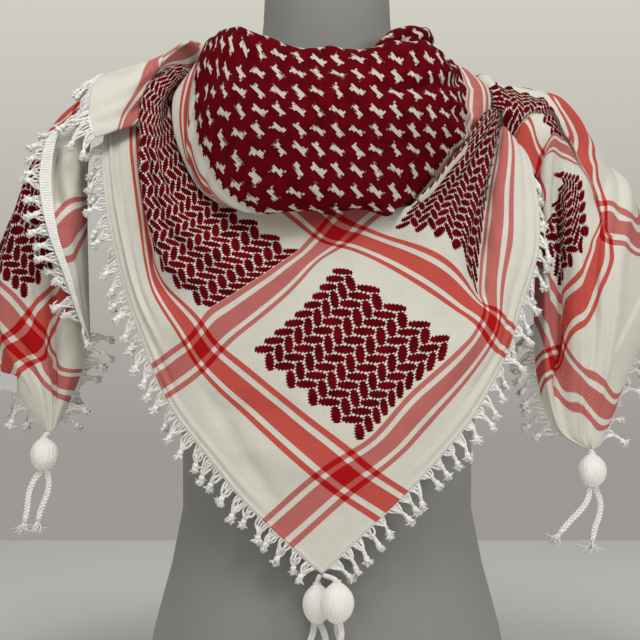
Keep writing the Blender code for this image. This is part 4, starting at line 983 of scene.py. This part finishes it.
FLAP_SEEN = (
    (65, 232, 18, 199), (84, 214, 40, 199), (75, 222, 29, 199), (42, 190, 0, 246), (52, 246, 0, 196),
    (88, 343, 0, 96), (50, 140, 0, 290), (76, 122, 0, 322), (88, 300, 40, 130), (87, 180, 40, 232),
    (90, 130, 40, 275), (69, 199, 30, 215), (74, 256, 20, 185),
)
FLAP_CREASES = ((13, 44, 17, 98, 5, -12.0), (30, 20, 36, 120, 4, 1.2), (30, 120, 24, 200, 4, -1.2))


RIGHT_LAST = len(WRAP_OVER) + len(RIGHT_SHOULDER) + len(RIGHT_TAIL) - 1     # the last section's number


def along_fold(fold, flat):
    """How far u is past a fold at each place, the fold's third column, and 1 along it, fading at its ends."""
    table = np.array(fold, float)
    u, v = flat[..., 0], flat[..., 1]
    at = table[:, 1] / RIGHT_LAST
    past = u - np.interp(v, at, table[:, 0])
    hidden = np.interp(v, at, table[:, 2])
    fade = smooth((v - at[0]) * RIGHT_LAST * 2) * smooth((at[-1] - v) * RIGHT_LAST * 1.2)
    return past, hidden, np.where((v >= at[0]) & (v <= at[-1]), fade, 0.0)


def right_unrolled(flat):
    """The right end's places with the cloth that its folds hide pulled out, so that the pattern runs on."""
    out = flat.copy()
    for fold in (RIGHT_OVERLAP, RIGHT_VALLEY):
        past, hidden, fade = along_fold(fold, flat)
        out[..., 0] += np.where((past > 0) & (fade > 0), hidden, 0.0)
    return out


# The right end's folds: heights in metres, and reaches as shares of its width.
LAYER_STEP, LAYER_RISE, LAYER_ROUND, LAYER_REACH = 0.0018, 0.0030, 0.02, 0.5
UNDER_DROP, UNDER_REACH = 0.0022, 0.03
VALLEY_DEPTH, VALLEY_HALF = 0.0050, 0.012
TURNED_HEM = 0.0022


def right_folds(flat):
    """The upper layer's raised edge, the valley under the shoulder and the turned hem, in metres."""
    past, hidden, fade = along_fold(RIGHT_OVERLAP, flat)
    fade = fade * np.minimum(hidden * 6, 1)
    beyond = np.clip(past, 0, 1)
    upper = (LAYER_STEP + LAYER_RISE * (1 - np.exp(-beyond / LAYER_ROUND))) * np.exp(-beyond / LAYER_REACH)
    lower = -UNDER_DROP * np.exp(np.clip(past, -1, 0) / UNDER_REACH)
    out = fade * np.where(past > 0, upper, lower)
    past, hidden, fade = along_fold(RIGHT_VALLEY, flat)
    out -= fade * VALLEY_DEPTH * np.exp(-np.abs(past) / VALLEY_HALF)
    past, hidden, fade = along_fold(RIGHT_HEM_FOLD, flat)
    return out + fade * np.where(past > 0, TURNED_HEM, 0.0)


END_EDGE = 0.004        # the share of u that the ends' meshes leave free at each of the solids' edges
ROW_EDGE = 0.002        # and the share of v
FOLD_GAP = 0.0002       # the mesh's step across a fold


def folded_lattice(rows, columns):
    """Places on the right end whose columns follow its two folds, so that the pattern jumps only there."""
    outer, inner = (np.interp(rows, np.array(fold)[:, 1] / RIGHT_LAST, np.array(fold)[:, 0])[:, None]
                    for fold in (RIGHT_OVERLAP, RIGHT_VALLEY))
    outer = np.maximum(outer, 0.03)
    inner = np.minimum(inner, outer * 0.6)
    near, gap = np.linspace(0, 1, columns // 4), FOLD_GAP
    u = np.concatenate([
        END_EDGE + (inner - gap - END_EDGE) * near,
        inner + gap + (outer - inner - 2 * gap) * near,
        outer + gap + (1 - END_EDGE - outer - gap) * np.linspace(0, 1, columns - 2 * len(near)),
    ], 1)
    return np.stack([u, np.broadcast_to(rows[:, None], u.shape)], -1)


REACH_IN = 0.026                # how far the lower layer's edge reaches in, in metres
REACH_BACK = 0.45               # how far back it goes, as a share of that
REACH_WIDTH = 0.2               # the share of the width that goes with it
REACH_SECTIONS = (7.4, 14.0)    # where it starts and stops, by section


def inner_edge_shift(surface, flat):
    """The lower layer's edge reaches further in at the shoulder, behind the front panel's margin."""
    side = unit(surface(flat + (0.03, 0)) - surface(flat))
    at = flat[..., 1] * RIGHT_LAST
    near_edge = np.clip(1 - flat[..., 0] / REACH_WIDTH, 0, 1) ** 2
    start, stop = REACH_SECTIONS
    size = REACH_IN * near_edge * smooth((at - start) / 1.5) * smooth((stop - at) / 2.0)
    return size[..., None] * (np.array([0.0, REACH_BACK, 0.0]) - side)


WRAP_SHARE, WRAP_ROWS, HANGING_ROWS = 0.36, 70, 225     # the right end's mesh: behind the neck, then hanging


def ends_cloth(cotton):
    """The two ends of the cloth, and the left tail with its turned flap; gives back their surfaces."""
    right = sash(WRAP_OVER, RIGHT_SHOULDER, RIGHT_TAIL)
    left = sash(WRAP_UNDER, LEFT_SHOULDER)
    left_tail, left_flap = loft(drawn(LEFT_TAIL)), loft(drawn(LEFT_FLAP))
    behind_neck = np.linspace(ROW_EDGE, WRAP_SHARE, WRAP_ROWS)
    hanging_rows = np.linspace(WRAP_SHARE + ROW_EDGE, 1 - ROW_EDGE, HANGING_ROWS)
    long_rows, short_rows = (np.linspace(ROW_EDGE, 1 - ROW_EDGE, count) for count in (180, 120))
    pieces = (
        ("right_end_cloth", right, 128, np.concatenate([behind_neck, hanging_rows]),
         flat_map(right, RIGHT_SEEN, RIGHT_HIDDEN, right_unrolled), right_folds, RIGHT_CREASES, -1,
         ("back_wrap_over", "right_shoulder", "right_tail"), (0.17, 0.62), 0.074),
        ("left_end_cloth", left, 80, long_rows,
         flat_map(left, LEFT_SHOULDER_SEEN, LEFT_SHOULDER_HIDDEN), None, LEFT_SHOULDER_CREASES, 1,
         ("back_wrap_under", "left_shoulder"), (0.12, 0.38), 0.036),
        ("left_tail_cloth", left_tail, 100, long_rows,
         flat_map(left_tail, LEFT_SEEN), None, LEFT_CREASES, 1, ("left_tail",), (0.17, 0.31), 0.038),
        ("left_flap_cloth", left_flap, 30, short_rows,
         flat_map(left_flap, FLAP_SEEN), None, FLAP_CREASES, -1, ("left_tail_flap",), (0.045, 0.22), 0.007),
    )
    for name, surface, columns, rows, charted, folds, creases, outward, nodes, size, area in pieces:
        if folds:
            flat = folded_lattice(rows, columns)
            extra, shift = folds(flat), inner_edge_shift(surface, flat)
        else:
            flat = lattice(np.linspace(END_EDGE, 1 - END_EDGE, columns), rows)
            extra, shift = 0.0, 0.0
        push = creased(flat * size * 1000, creases) + extra
        facing = normals(surface, flat, 0.002)
        middle = surface(flat) + facing * outward * push[..., None] + shift
        made = show(name, shell(name, middle, facing, charted(flat)), cotton, "printed_cotton", *nodes)
    return right, left, left_tail, left_flap


# ---------------------------------------------------------------- threads
class Threads:
    """Tubes of thread gathered into one mesh."""

    def __init__(self):
        self.points, self.faces, self.count = [], [], 0

    def tubes(self, paths, radii, sides=5, flat=1.0, turns=0.0):
        """Tubes along paths (tube, step, 3); radii is per step or per tube and step.

        flat squeezes the round, and turns twists it, so that a tube looks plied.
        """
        paths = np.asarray(paths, float)
        tubes, steps = paths.shape[:2]
        radii = np.broadcast_to(radii, (tubes, steps))
        along = unit(np.gradient(paths, axis=1) + 1e-12)
        main = unit(paths[:, -1] - paths[:, 0] + 1e-9)
        helper = np.where(np.abs(main[:, 1:2]) < 0.75, (0.0, 1.0, 0.0), (1.0, 0.0, 0.0))[:, None]
        one = unit(np.cross(along, helper))
        two = np.cross(along, one)
        turn = np.linspace(0, 2 * math.pi, sides, endpoint=False)
        twist = np.linspace(0, turns * 2 * math.pi, steps)[None, :, None]
        x, y = np.cos(turn), np.sin(turn) * flat
        ring_x = x * np.cos(twist) - y * np.sin(twist)
        ring_y = x * np.sin(twist) + y * np.cos(twist)
        points = paths[:, :, None] + radii[..., None, None] * (
            one[:, :, None] * ring_x[..., None] + two[:, :, None] * ring_y[..., None])
        index = np.arange(tubes * steps * sides).reshape(tubes, steps, sides) + self.count
        after = np.roll(index, -1, 2)
        quads = np.stack([index[:, :-1], after[:, :-1], after[:, 1:], index[:, 1:]], -1).reshape(-1, 4)
        self.points.append(points.reshape(-1, 3))
        self.faces += quads.tolist()
        self.faces += index[:, 0, ::-1].tolist()
        self.faces += index[:, -1].tolist()
        self.count += tubes * steps * sides

    def mesh(self, name):
        mesh = bpy.data.meshes.new(name)
        mesh.from_pydata(np.concatenate(self.points).tolist(), [], self.faces)
        mesh.shade_smooth()
        return mesh


def bezier(ends, steps):
    """Points along cubic curves; ends is four arrays of places."""
    t = np.linspace(0, 1, steps)[None, :, None]
    a, b, c, d = (np.asarray(e)[:, None] for e in ends)
    return a * (1 - t) ** 3 + 3 * b * t * (1 - t) ** 2 + 3 * c * t * t * (1 - t) + d * t ** 3


def sway(paths, size, waves):
    """Adds a slack wave to paths, none at their ends."""
    tubes, steps = paths.shape[:2]
    t = np.linspace(0, 1, steps)[None, :, None]
    way = unit(random.normal(size=(tubes, 1, 3)))
    phase = random.uniform(0, 6.3, (tubes, 1, 1))
    return paths + way * size * np.sin(math.pi * t) * np.sin(waves * 2 * math.pi * t + phase)


def tuft(threads, spots, ways, length, spread, count, radius):
    """A frayed brush of thread ends at each spot."""
    spots, ways = np.repeat(spots, count, 0), np.repeat(ways, count, 0)
    aim = unit(ways + spread * random.normal(size=ways.shape))
    reach = length * random.uniform(0.7, 1.1, (len(spots), 1))
    bent = unit(aim + 0.4 * random.normal(size=aim.shape))
    start = spots + 0.3 * radius * random.normal(size=spots.shape)
    paths = bezier((start, start + aim * reach * 0.4, start + aim * reach * 0.7, start + bent * reach), 4)
    threads.tubes(paths, radius * np.array([1.0, 1.1, 0.95, 0.35]), 3)


def knots(threads, spots, ways, radius, length):
    """A small twisted knot at each spot."""
    share = np.array([-1.0, -0.75, -0.3, 0.2, 0.65, 1.0])
    paths = spots[:, None] + ways[:, None] * (share * length / 2)[None, :, None]
    threads.tubes(paths, radius * np.array([0.35, 0.9, 1.12, 1.0, 0.95, 0.5]), 7, 0.8, 0.6)


CORDS = 5                           # plied cords in a bundle of the fringe
# Sizes in metres, and how many threads a tuft has.
BUNDLE_PITCH = 0.0126
CORD_RADIUS, CORD_PITCH, CORD_BULGE = 0.00118, 0.0023, 0.0016
FALL = (0.0105, 0.0150)             # from the hem to the knots
KNOT_RADIUS, KNOT_LENGTH = 0.0027, 0.0050
TUFT_THREADS, TUFT_RADIUS, TUFT_LENGTH = 30, 0.00105, 0.0056
HEM_RADIUS = 0.0009
DOWN = np.array([0.0, 0.0, -1.0])


def gone(line):
    """How far along a line each of its places is."""
    return np.concatenate([[0], np.cumsum(np.linalg.norm(np.diff(line, axis=0), axis=1))])


def fringe_threads(name, surface, hem, inward, droop, fall, close, look):
    """Bundles of plied cords along a hem, each gathered into a knot with a small tuft."""
    hem = np.array(hem, float)
    places, inner = surface(hem), surface(hem + inward)
    step = max(abs(inward[0]), abs(inward[1]))
    facing, outward = normals(surface, hem + inward, step), unit(places - inner)
    lengths = gone(places)
    whole = lengths[-1]

    def read(values, at):
        return np.stack([np.interp(at, lengths, values[:, i]) for i in range(3)], 1)

    count = max(1, int(whole / (BUNDLE_PITCH * close)))
    middle = (np.arange(count) + 0.5) * whole / count + random.uniform(-0.0012, 0.0012, count)
    out, face = unit(read(outward, middle)), unit(read(facing, middle))
    side = unit(np.cross(out, face))
    reach = random.uniform(*FALL, count)[:, None] * fall
    lean = random.normal(size=(count, 3)) * (0.36, 0.24, 0.26)
    way = unit(out + DOWN * droop + lean)
    end_way = unit(way + DOWN * 0.7 * min(droop + 0.2, 1.0) + 0.3 * lean)
    knot = read(places, middle) + out * 0.0015 + way * reach
    threads = Threads()
    for k in np.arange(CORDS) - (CORDS - 1) / 2:
        offset = k * CORD_PITCH + random.uniform(-0.0006, 0.0006, count)
        root = read(places, np.clip(middle + offset, 0, whole)) - out * 0.0006
        bulge = side * k * CORD_BULGE + face * random.uniform(-0.0012, 0.0016, (count, 1))
        paths = bezier((root, root + out * reach * 0.45, knot - end_way * reach * 0.45 + bulge, knot), 13)
        threads.tubes(sway(paths, 0.0013, 1.1), CORD_RADIUS, 5, 0.66, 3.5)
    knots(threads, knot + end_way * 0.0008, end_way, KNOT_RADIUS, KNOT_LENGTH)
    tuft(threads, knot + end_way * 0.0016, end_way, TUFT_LENGTH, 0.42, TUFT_THREADS, TUFT_RADIUS)
    edge = read(places, np.linspace(0, whole, max(8, int(whole / 0.0025))))
    threads.tubes([edge], HEM_RADIUS, 6)
    show(name + "_threads", threads.mesh(name), look, "white_thread", name)


TAPE_MESH = (12, 640)
TAPE_ACROSS, TAPE_ALONG = (-0.03, 0.25), (0.03, 0.99)   # its place on the flap, by (u, v)
TAPE_WALL, TAPE_OFF = 0.0008, 0.0018                    # its thickness and how far it stands off, in metres
BAR_PITCH, BAR_HEIGHT = 0.0021, 0.0009
SELVEDGE = 0.07                 # a selvedge's half width, as a share of the tape's width


def ladder_tape(surface, look):
    """The woven tape along the turned hem: close bars between two selvedges, a little off the cloth."""
    flat = lattice(*(np.linspace(*ends, count) for ends, count in zip((TAPE_ACROSS, TAPE_ALONG), TAPE_MESH)))
    inside = np.clip(flat, 0.0, 1.0)
    side = unit(surface(inside + (0.05, 0)) - surface(inside))
    facing = normals(surface, inside, 0.003)
    middle = surface(inside) + side * (np.minimum(flat[..., :1], 0.0) * 0.045)
    bars = np.abs(np.sin(gone(middle[:, 6]) * math.pi / BAR_PITCH)) ** 0.6
    across = np.linspace(0, 1, TAPE_MESH[0])
    selvedge = np.maximum(*(np.exp(-((across - at) / SELVEDGE) ** 2) for at in (SELVEDGE, 1 - SELVEDGE)))
    height = TAPE_OFF + BAR_HEIGHT * np.maximum(bars[:, None] * (1 - selvedge), selvedge)
    middle = middle - facing * height[..., None]
    show("flap_tape", shell("flap_tape", middle, facing, flat * 10, wall=TAPE_WALL), look, "white_thread")


def spaced_hem(fixed, low, high, count, first=True):
    """Places along a hem; first says that the fixed number is the first of each pair."""
    values = np.linspace(low, high, count)
    return [(fixed, v) if first else (v, fixed) for v in values]


def fringes(front, right, left, left_tail, left_flap, thread):
    """The hems' fringes, and the tape on the flap."""
    # Each one's name, cloth, hem, step in from it, droop, length and closeness.
    pieces = (
        ("fringe_front_left", front, spaced_hem(0, 5, 403, 120), (2.0, 0), 0.75, 1.0, 1.0),
        ("fringe_front_right", front, spaced_hem(0, 5, 375, 120, False), (0, 2.0), 0.65, 1.0, 1.0),
        ("fringe_left_shoulder", left, spaced_hem(0.998, 0.0, 0.45, 40, False), (0, -0.004), 0.9, 1.5, 0.6),
        ("fringe_left_tail_flap", left_flap, spaced_hem(0.004, 0.04, 0.97, 80), (0.02, 0), 0.1, 0.9, 1.0),
        ("fringe_left_tail_inner", left_tail, spaced_hem(0.004, 0.72, 0.985, 40), (0.01, 0), 0.45, 1.3, 0.7),
        ("fringe_left_tail_outer", left_tail, spaced_hem(0.996, 0.74, 0.985, 40), (-0.01, 0), 0.45, 1.3, 0.7),
        ("fringe_right_tail_inner", right, spaced_hem(0.004, 0.84, 0.965, 40), (0.01, 0), 0.45, 1.2, 0.8),
        ("fringe_right_tail_outer", right, spaced_hem(0.996, 0.82, 0.99, 40), (-0.01, 0), 0.45, 1.2, 0.8),
    )
    ladder_tape(left_flap, thread)
    for name, surface, hem, inward, droop, fall, close in pieces:
        fringe_threads(name, surface, hem, inward, droop, fall, close, thread)


# ---------------------------------------------------------------- tassels
# A thread-wrapped ball: share of its height from the top, share of its radius.
BALL_PROFILE = ((0.0, 0.17), (0.05, 0.24), (0.1, 0.4), (0.18, 0.64), (0.3, 0.88), (0.45, 1.0), (0.6, 1.0),
                (0.75, 0.88), (0.87, 0.66), (0.95, 0.42), (1.0, 0.16))
BALL_MESH = (34, 72)
# The other sizes of a tassel, in metres, and the turns of thread round its neck.
NECK_RADIUS = 0.0019
WRAP_RADIUS, WRAP_THREAD, WRAP_TURNS = 0.0029, 0.0005, 3.2
PLAIT_WIDTH, PLAIT_PITCH = 0.0026, 0.0085
PLAIT_KNOT, PLAIT_TUFT = 0.0055, 0.0125                 # their lengths


def ball(name, top, radius, height):
    """A ball of wound thread, ridged round its sides, below its top."""
    table = np.array(BALL_PROFILE)
    down = spline_matrix(len(table), np.linspace(0, len(table) - 1, BALL_MESH[0])) @ table
    turn = np.linspace(0, 2 * math.pi, BALL_MESH[1], endpoint=False)
    share, wide = down[:, :1], down[:, 1:]
    slant = turn + 0.5 * share
    ridges = 1 + 0.022 * np.sin(19 * slant + 1.5 * np.sin(3 * share * math.pi)) + 0.03 * np.sin(3 * slant + 1)
    reach = radius * wide * ridges
    points = np.stack([top[0] + reach * np.cos(turn), top[1] + reach * np.sin(turn),
                       np.broadcast_to(top[2] - height * share, reach.shape)], -1)
    index = np.arange(reach.size).reshape(reach.shape)
    after = np.roll(index, -1, 1)
    faces = np.stack([index[1:], after[1:], after[:-1], index[:-1]], -1).reshape(-1, 4).tolist()
    faces += [index[0].tolist(), index[-1, ::-1].tolist()]
    mesh = bpy.data.meshes.new(name)
    mesh.from_pydata(points.reshape(-1, 3).tolist(), [], faces)
    wound = np.stack([np.broadcast_to(way, reach.shape) for way in (turn / (2 * math.pi), share)], -1)
    chart(mesh, "wound", wound.reshape(-1, 2))
    mesh.shade_smooth()
    return mesh


def braid(threads, start, steps):
    """A plait of three strands through a few places, ending in a knot and a tuft."""
    places = np.vstack([start, start + np.array(steps)])
    at = np.linspace(0, len(places) - 1, 60)
    line = spline_matrix(len(places), at) @ places
    turn = np.linspace(0, 2 * math.pi * gone(line)[-1] / PLAIT_PITCH, len(at))
    along = unit(np.gradient(line, axis=0))
    side = unit(np.cross(along, (0, 1.0, 0)))
    face = np.cross(side, along)
    strands = []
    for k in range(3):
        phase = turn + k * 2 * math.pi / 3
        strands.append(line + side * (PLAIT_WIDTH * 0.62 * np.sin(phase))[:, None]
                       + face * (PLAIT_WIDTH * 0.36 * np.sin(2 * phase))[:, None])
    threads.tubes(strands, PLAIT_WIDTH * 0.42, 6)
    end, way = line[-1:], along[-1:]
    knots(threads, end + way * 0.0015, way, PLAIT_WIDTH * 0.95, PLAIT_KNOT)
    tuft(threads, end + way * 0.003, way, PLAIT_TUFT, 0.26, 44, 0.0006)


def tassel(name, tie, top, radius, height, cords, look, thread):
    """A wound ball tied to the cloth by a short neck, with plaits hanging from it."""
    tie, top = place([tie, top])
    threads = Threads()
    neck = bezier(([tie], [tie + (0, 0, -0.001)], [top + (0, 0, 0.002)], [top + (0, 0, -0.002)]), 6)
    threads.tubes(neck, NECK_RADIUS, 8)
    turn = np.linspace(0, 2 * math.pi * WRAP_TURNS, 50)
    wrap = np.stack([np.cos(turn) * WRAP_RADIUS, np.sin(turn) * WRAP_RADIUS, -0.0005 - turn * 0.00011], 1)
    threads.tubes([top + wrap], WRAP_THREAD, 5)
    base = top + (0, 0, -height + 0.0008)
    for steps in cords:
        braid(threads, base + 0.0022 * unit(np.array([steps[0][0], steps[0][1], 0.0001])), steps)
    show(name + "_ball", ball(name + "_ball", top, radius, height), look, "white_thread", name)
    show(name + "_cords", threads.mesh(name + "_cords"), thread, "white_thread")


def hanging(across, near, sway_by, length):
    """Steps down a slack cord that leans and sways."""
    shares = (0.2, 0.4, 0.6, 0.8, 1.0)
    return [(across * t + sway_by * math.sin(4.4 * t), near * t, -length * t) for t in shares]


def tassels(look, thread):
    """The four tassels, each with the place it is tied to and its ball's top, radius and height."""
    tassel("tassel_front_a", (324.2, 575.2, 122.4), (337, 580, 134), 0.0126, 0.034,
           [hanging(-0.006, -0.002, 0.003, 0.036), hanging(0.012, 0.002, -0.003, 0.034)], look, thread)
    tassel("tassel_front_b", (320.2, 574.6, 120.6), (317, 582, 118), 0.0113, 0.033,
           [hanging(-0.012, 0.002, 0.002, 0.034), hanging(0.004, 0.004, 0.003, 0.036)], look, thread)
    tassel("tassel_left_tail", (49.5, 432.2, 37.4), (44, 436, 37), 0.0114, 0.029,
           [hanging(-0.016, -0.001, -0.003, 0.040), hanging(-0.004, 0.002, 0.003, 0.040)], look, thread)
    tassel("tassel_right_tail", (591, 449.2, 41), (592, 452, 41), 0.0114, 0.030,
           [hanging(-0.019, -0.001, 0.004, 0.036), hanging(0.003, 0.002, 0.004, 0.042)], look, thread)


WOUND_THREADS = 64      # threads round a ball


def wound_thread():
    """The balls' covering: fine threads laid from top to bottom."""
    made = plain("wound_white_thread", (0.93, 0.92, 0.88), 0.7, 0.1, 0.3)
    tree = made.node_tree
    wound = mapped(tree, "wound")
    round_ball, down = axes(tree, wound)[:2]
    wander = noise(tree, wound, 5.0)
    lines = (round_ball + down * 0.08 + wander * 0.03).wave(1 / WOUND_THREADS)
    bumped(made, lines * 0.5 + wander * 2.0, 0.0003, 0.6)
    return made


# ---------------------------------------------------------------- surroundings
# The room's tones: a pale wall ahead, lighter and warmer towards its top, the ceiling, and the rest.
WALL_LOW, WALL_HIGH = (0.335, 0.318, 0.300), (0.66, 0.64, 0.57)
CEILING = (0.52, 0.515, 0.49)
BEHIND = (0.20, 0.197, 0.19)


def room():
    """Soft light from all round, with a pale wall behind the object."""
    world = bpy.data.worlds.new("soft_room")
    world.use_nodes = True
    tree = world.node_tree
    ahead, height = axes(tree, tree.nodes.new("ShaderNodeTexCoord").outputs["Generated"])[1:]
    wall = mixed(tree, height.over(0.07, 0.30), WALL_LOW, WALL_HIGH)
    light = mixed(tree, height.over(0.50, 0.4), wall, CEILING)
    light = mixed(tree, ahead.over(0.45, 0.5), BEHIND, light)
    tree.links.new(light, tree.nodes["Background"].inputs["Color"])
    tree.nodes["Background"].inputs["Strength"].default_value = 1.0
    bpy.context.scene.world = world


FLOOR_CORNERS = [(-4, -3, 0), (4, -3, 0), (4, 1.1, 0), (-4, 1.1, 0)]
LAMP_COLOUR = (1.0, 0.985, 0.95)
# Each lamp's name, place, what it faces, its size in metres and its power in watts.
LAMPS = (
    ("overhead", (-0.10, -0.85, 1.50), (0, 0.1, 0.35), 0.6, 12.0),
    ("left", (-1.2, -1.1, 0.9), (0, 0, 0.35), 0.5, 2.0),
    ("right", (1.2, -1.1, 1.0), (0, 0, 0.35), 0.5, 8.0),
)
SENSOR = 36             # width of the camera's sensor, mm
PICTURE = 640           # width of the front view, in grid steps


def studio():
    """A pale floor, the room, three lamps and the camera of the front view."""
    scene = bpy.context.scene
    mesh = bpy.data.meshes.new("floor")
    mesh.from_pydata(FLOOR_CORNERS, [], [(0, 1, 2, 3)])
    mesh.materials.append(plain("studio_floor", (0.90, 0.905, 0.88), 0.6))
    linked("floor", mesh)
    room()
    for name, spot, aim, size, power in LAMPS:
        light = bpy.data.lights.new(name, "AREA")
        light.size, light.energy, light.color = size, power, LAMP_COLOUR
        lamp = linked(name, light)
        lamp.location = spot
        way = np.array(aim) - spot
        lamp.rotation_euler = (math.acos(-way[2] / np.linalg.norm(way)), 0, math.atan2(-way[0], way[1]))
    scene.view_settings.view_transform = "Standard"
    camera = bpy.data.cameras.new("eye")
    camera.lens = SENSOR * VIEW / (PICTURE * GRID)
    camera.sensor_width = SENSOR
    eye = linked("eye", camera)
    eye.location = ((EYE_ACROSS - CENTRE) * GRID, -VIEW, (FLOOR - EYE_DOWN) * GRID)
    eye.rotation_euler = (math.pi / 2, 0, 0)
    scene.camera = eye


def form_cover(form):
    """The form's jersey cover on the solid's own shape, shaded smooth between its rims."""
    mesh = form.data.copy()
    mesh.transform(form.matrix_world)
    mesh.materials.clear()
    welded = bmesh.new()
    welded.from_mesh(mesh)
    bmesh.ops.remove_doubles(welded, verts=welded.verts, dist=0.00002)
    welded.to_mesh(mesh)
    welded.free()
    given = mesh.attributes.get("custom_normal")
    if given:
        mesh.attributes.remove(given)
    mesh.shade_smooth()
    mesh.set_sharp_from_angle(angle=math.radians(30))
    show("form_cover", mesh, jersey(), "grey_jersey", "dress_form")


def main():
    cotton = printed_cotton()
    front = drape(front_marks())
    front_cloth(front, cotton)
    cowl_cloth(front, cotton)
    roll_cloth(cotton)
    surfaces = ends_cloth(cotton)
    thread = plain("white_cotton_thread", (0.86, 0.85, 0.82), 0.8, 0.1, 0.2)
    fringes(front, *surfaces, thread)
    tassels(wound_thread(), thread)
    form_cover(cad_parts["dress_form"])
    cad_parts["label"].material_slots[0].material = label_tape()
    studio()


main()
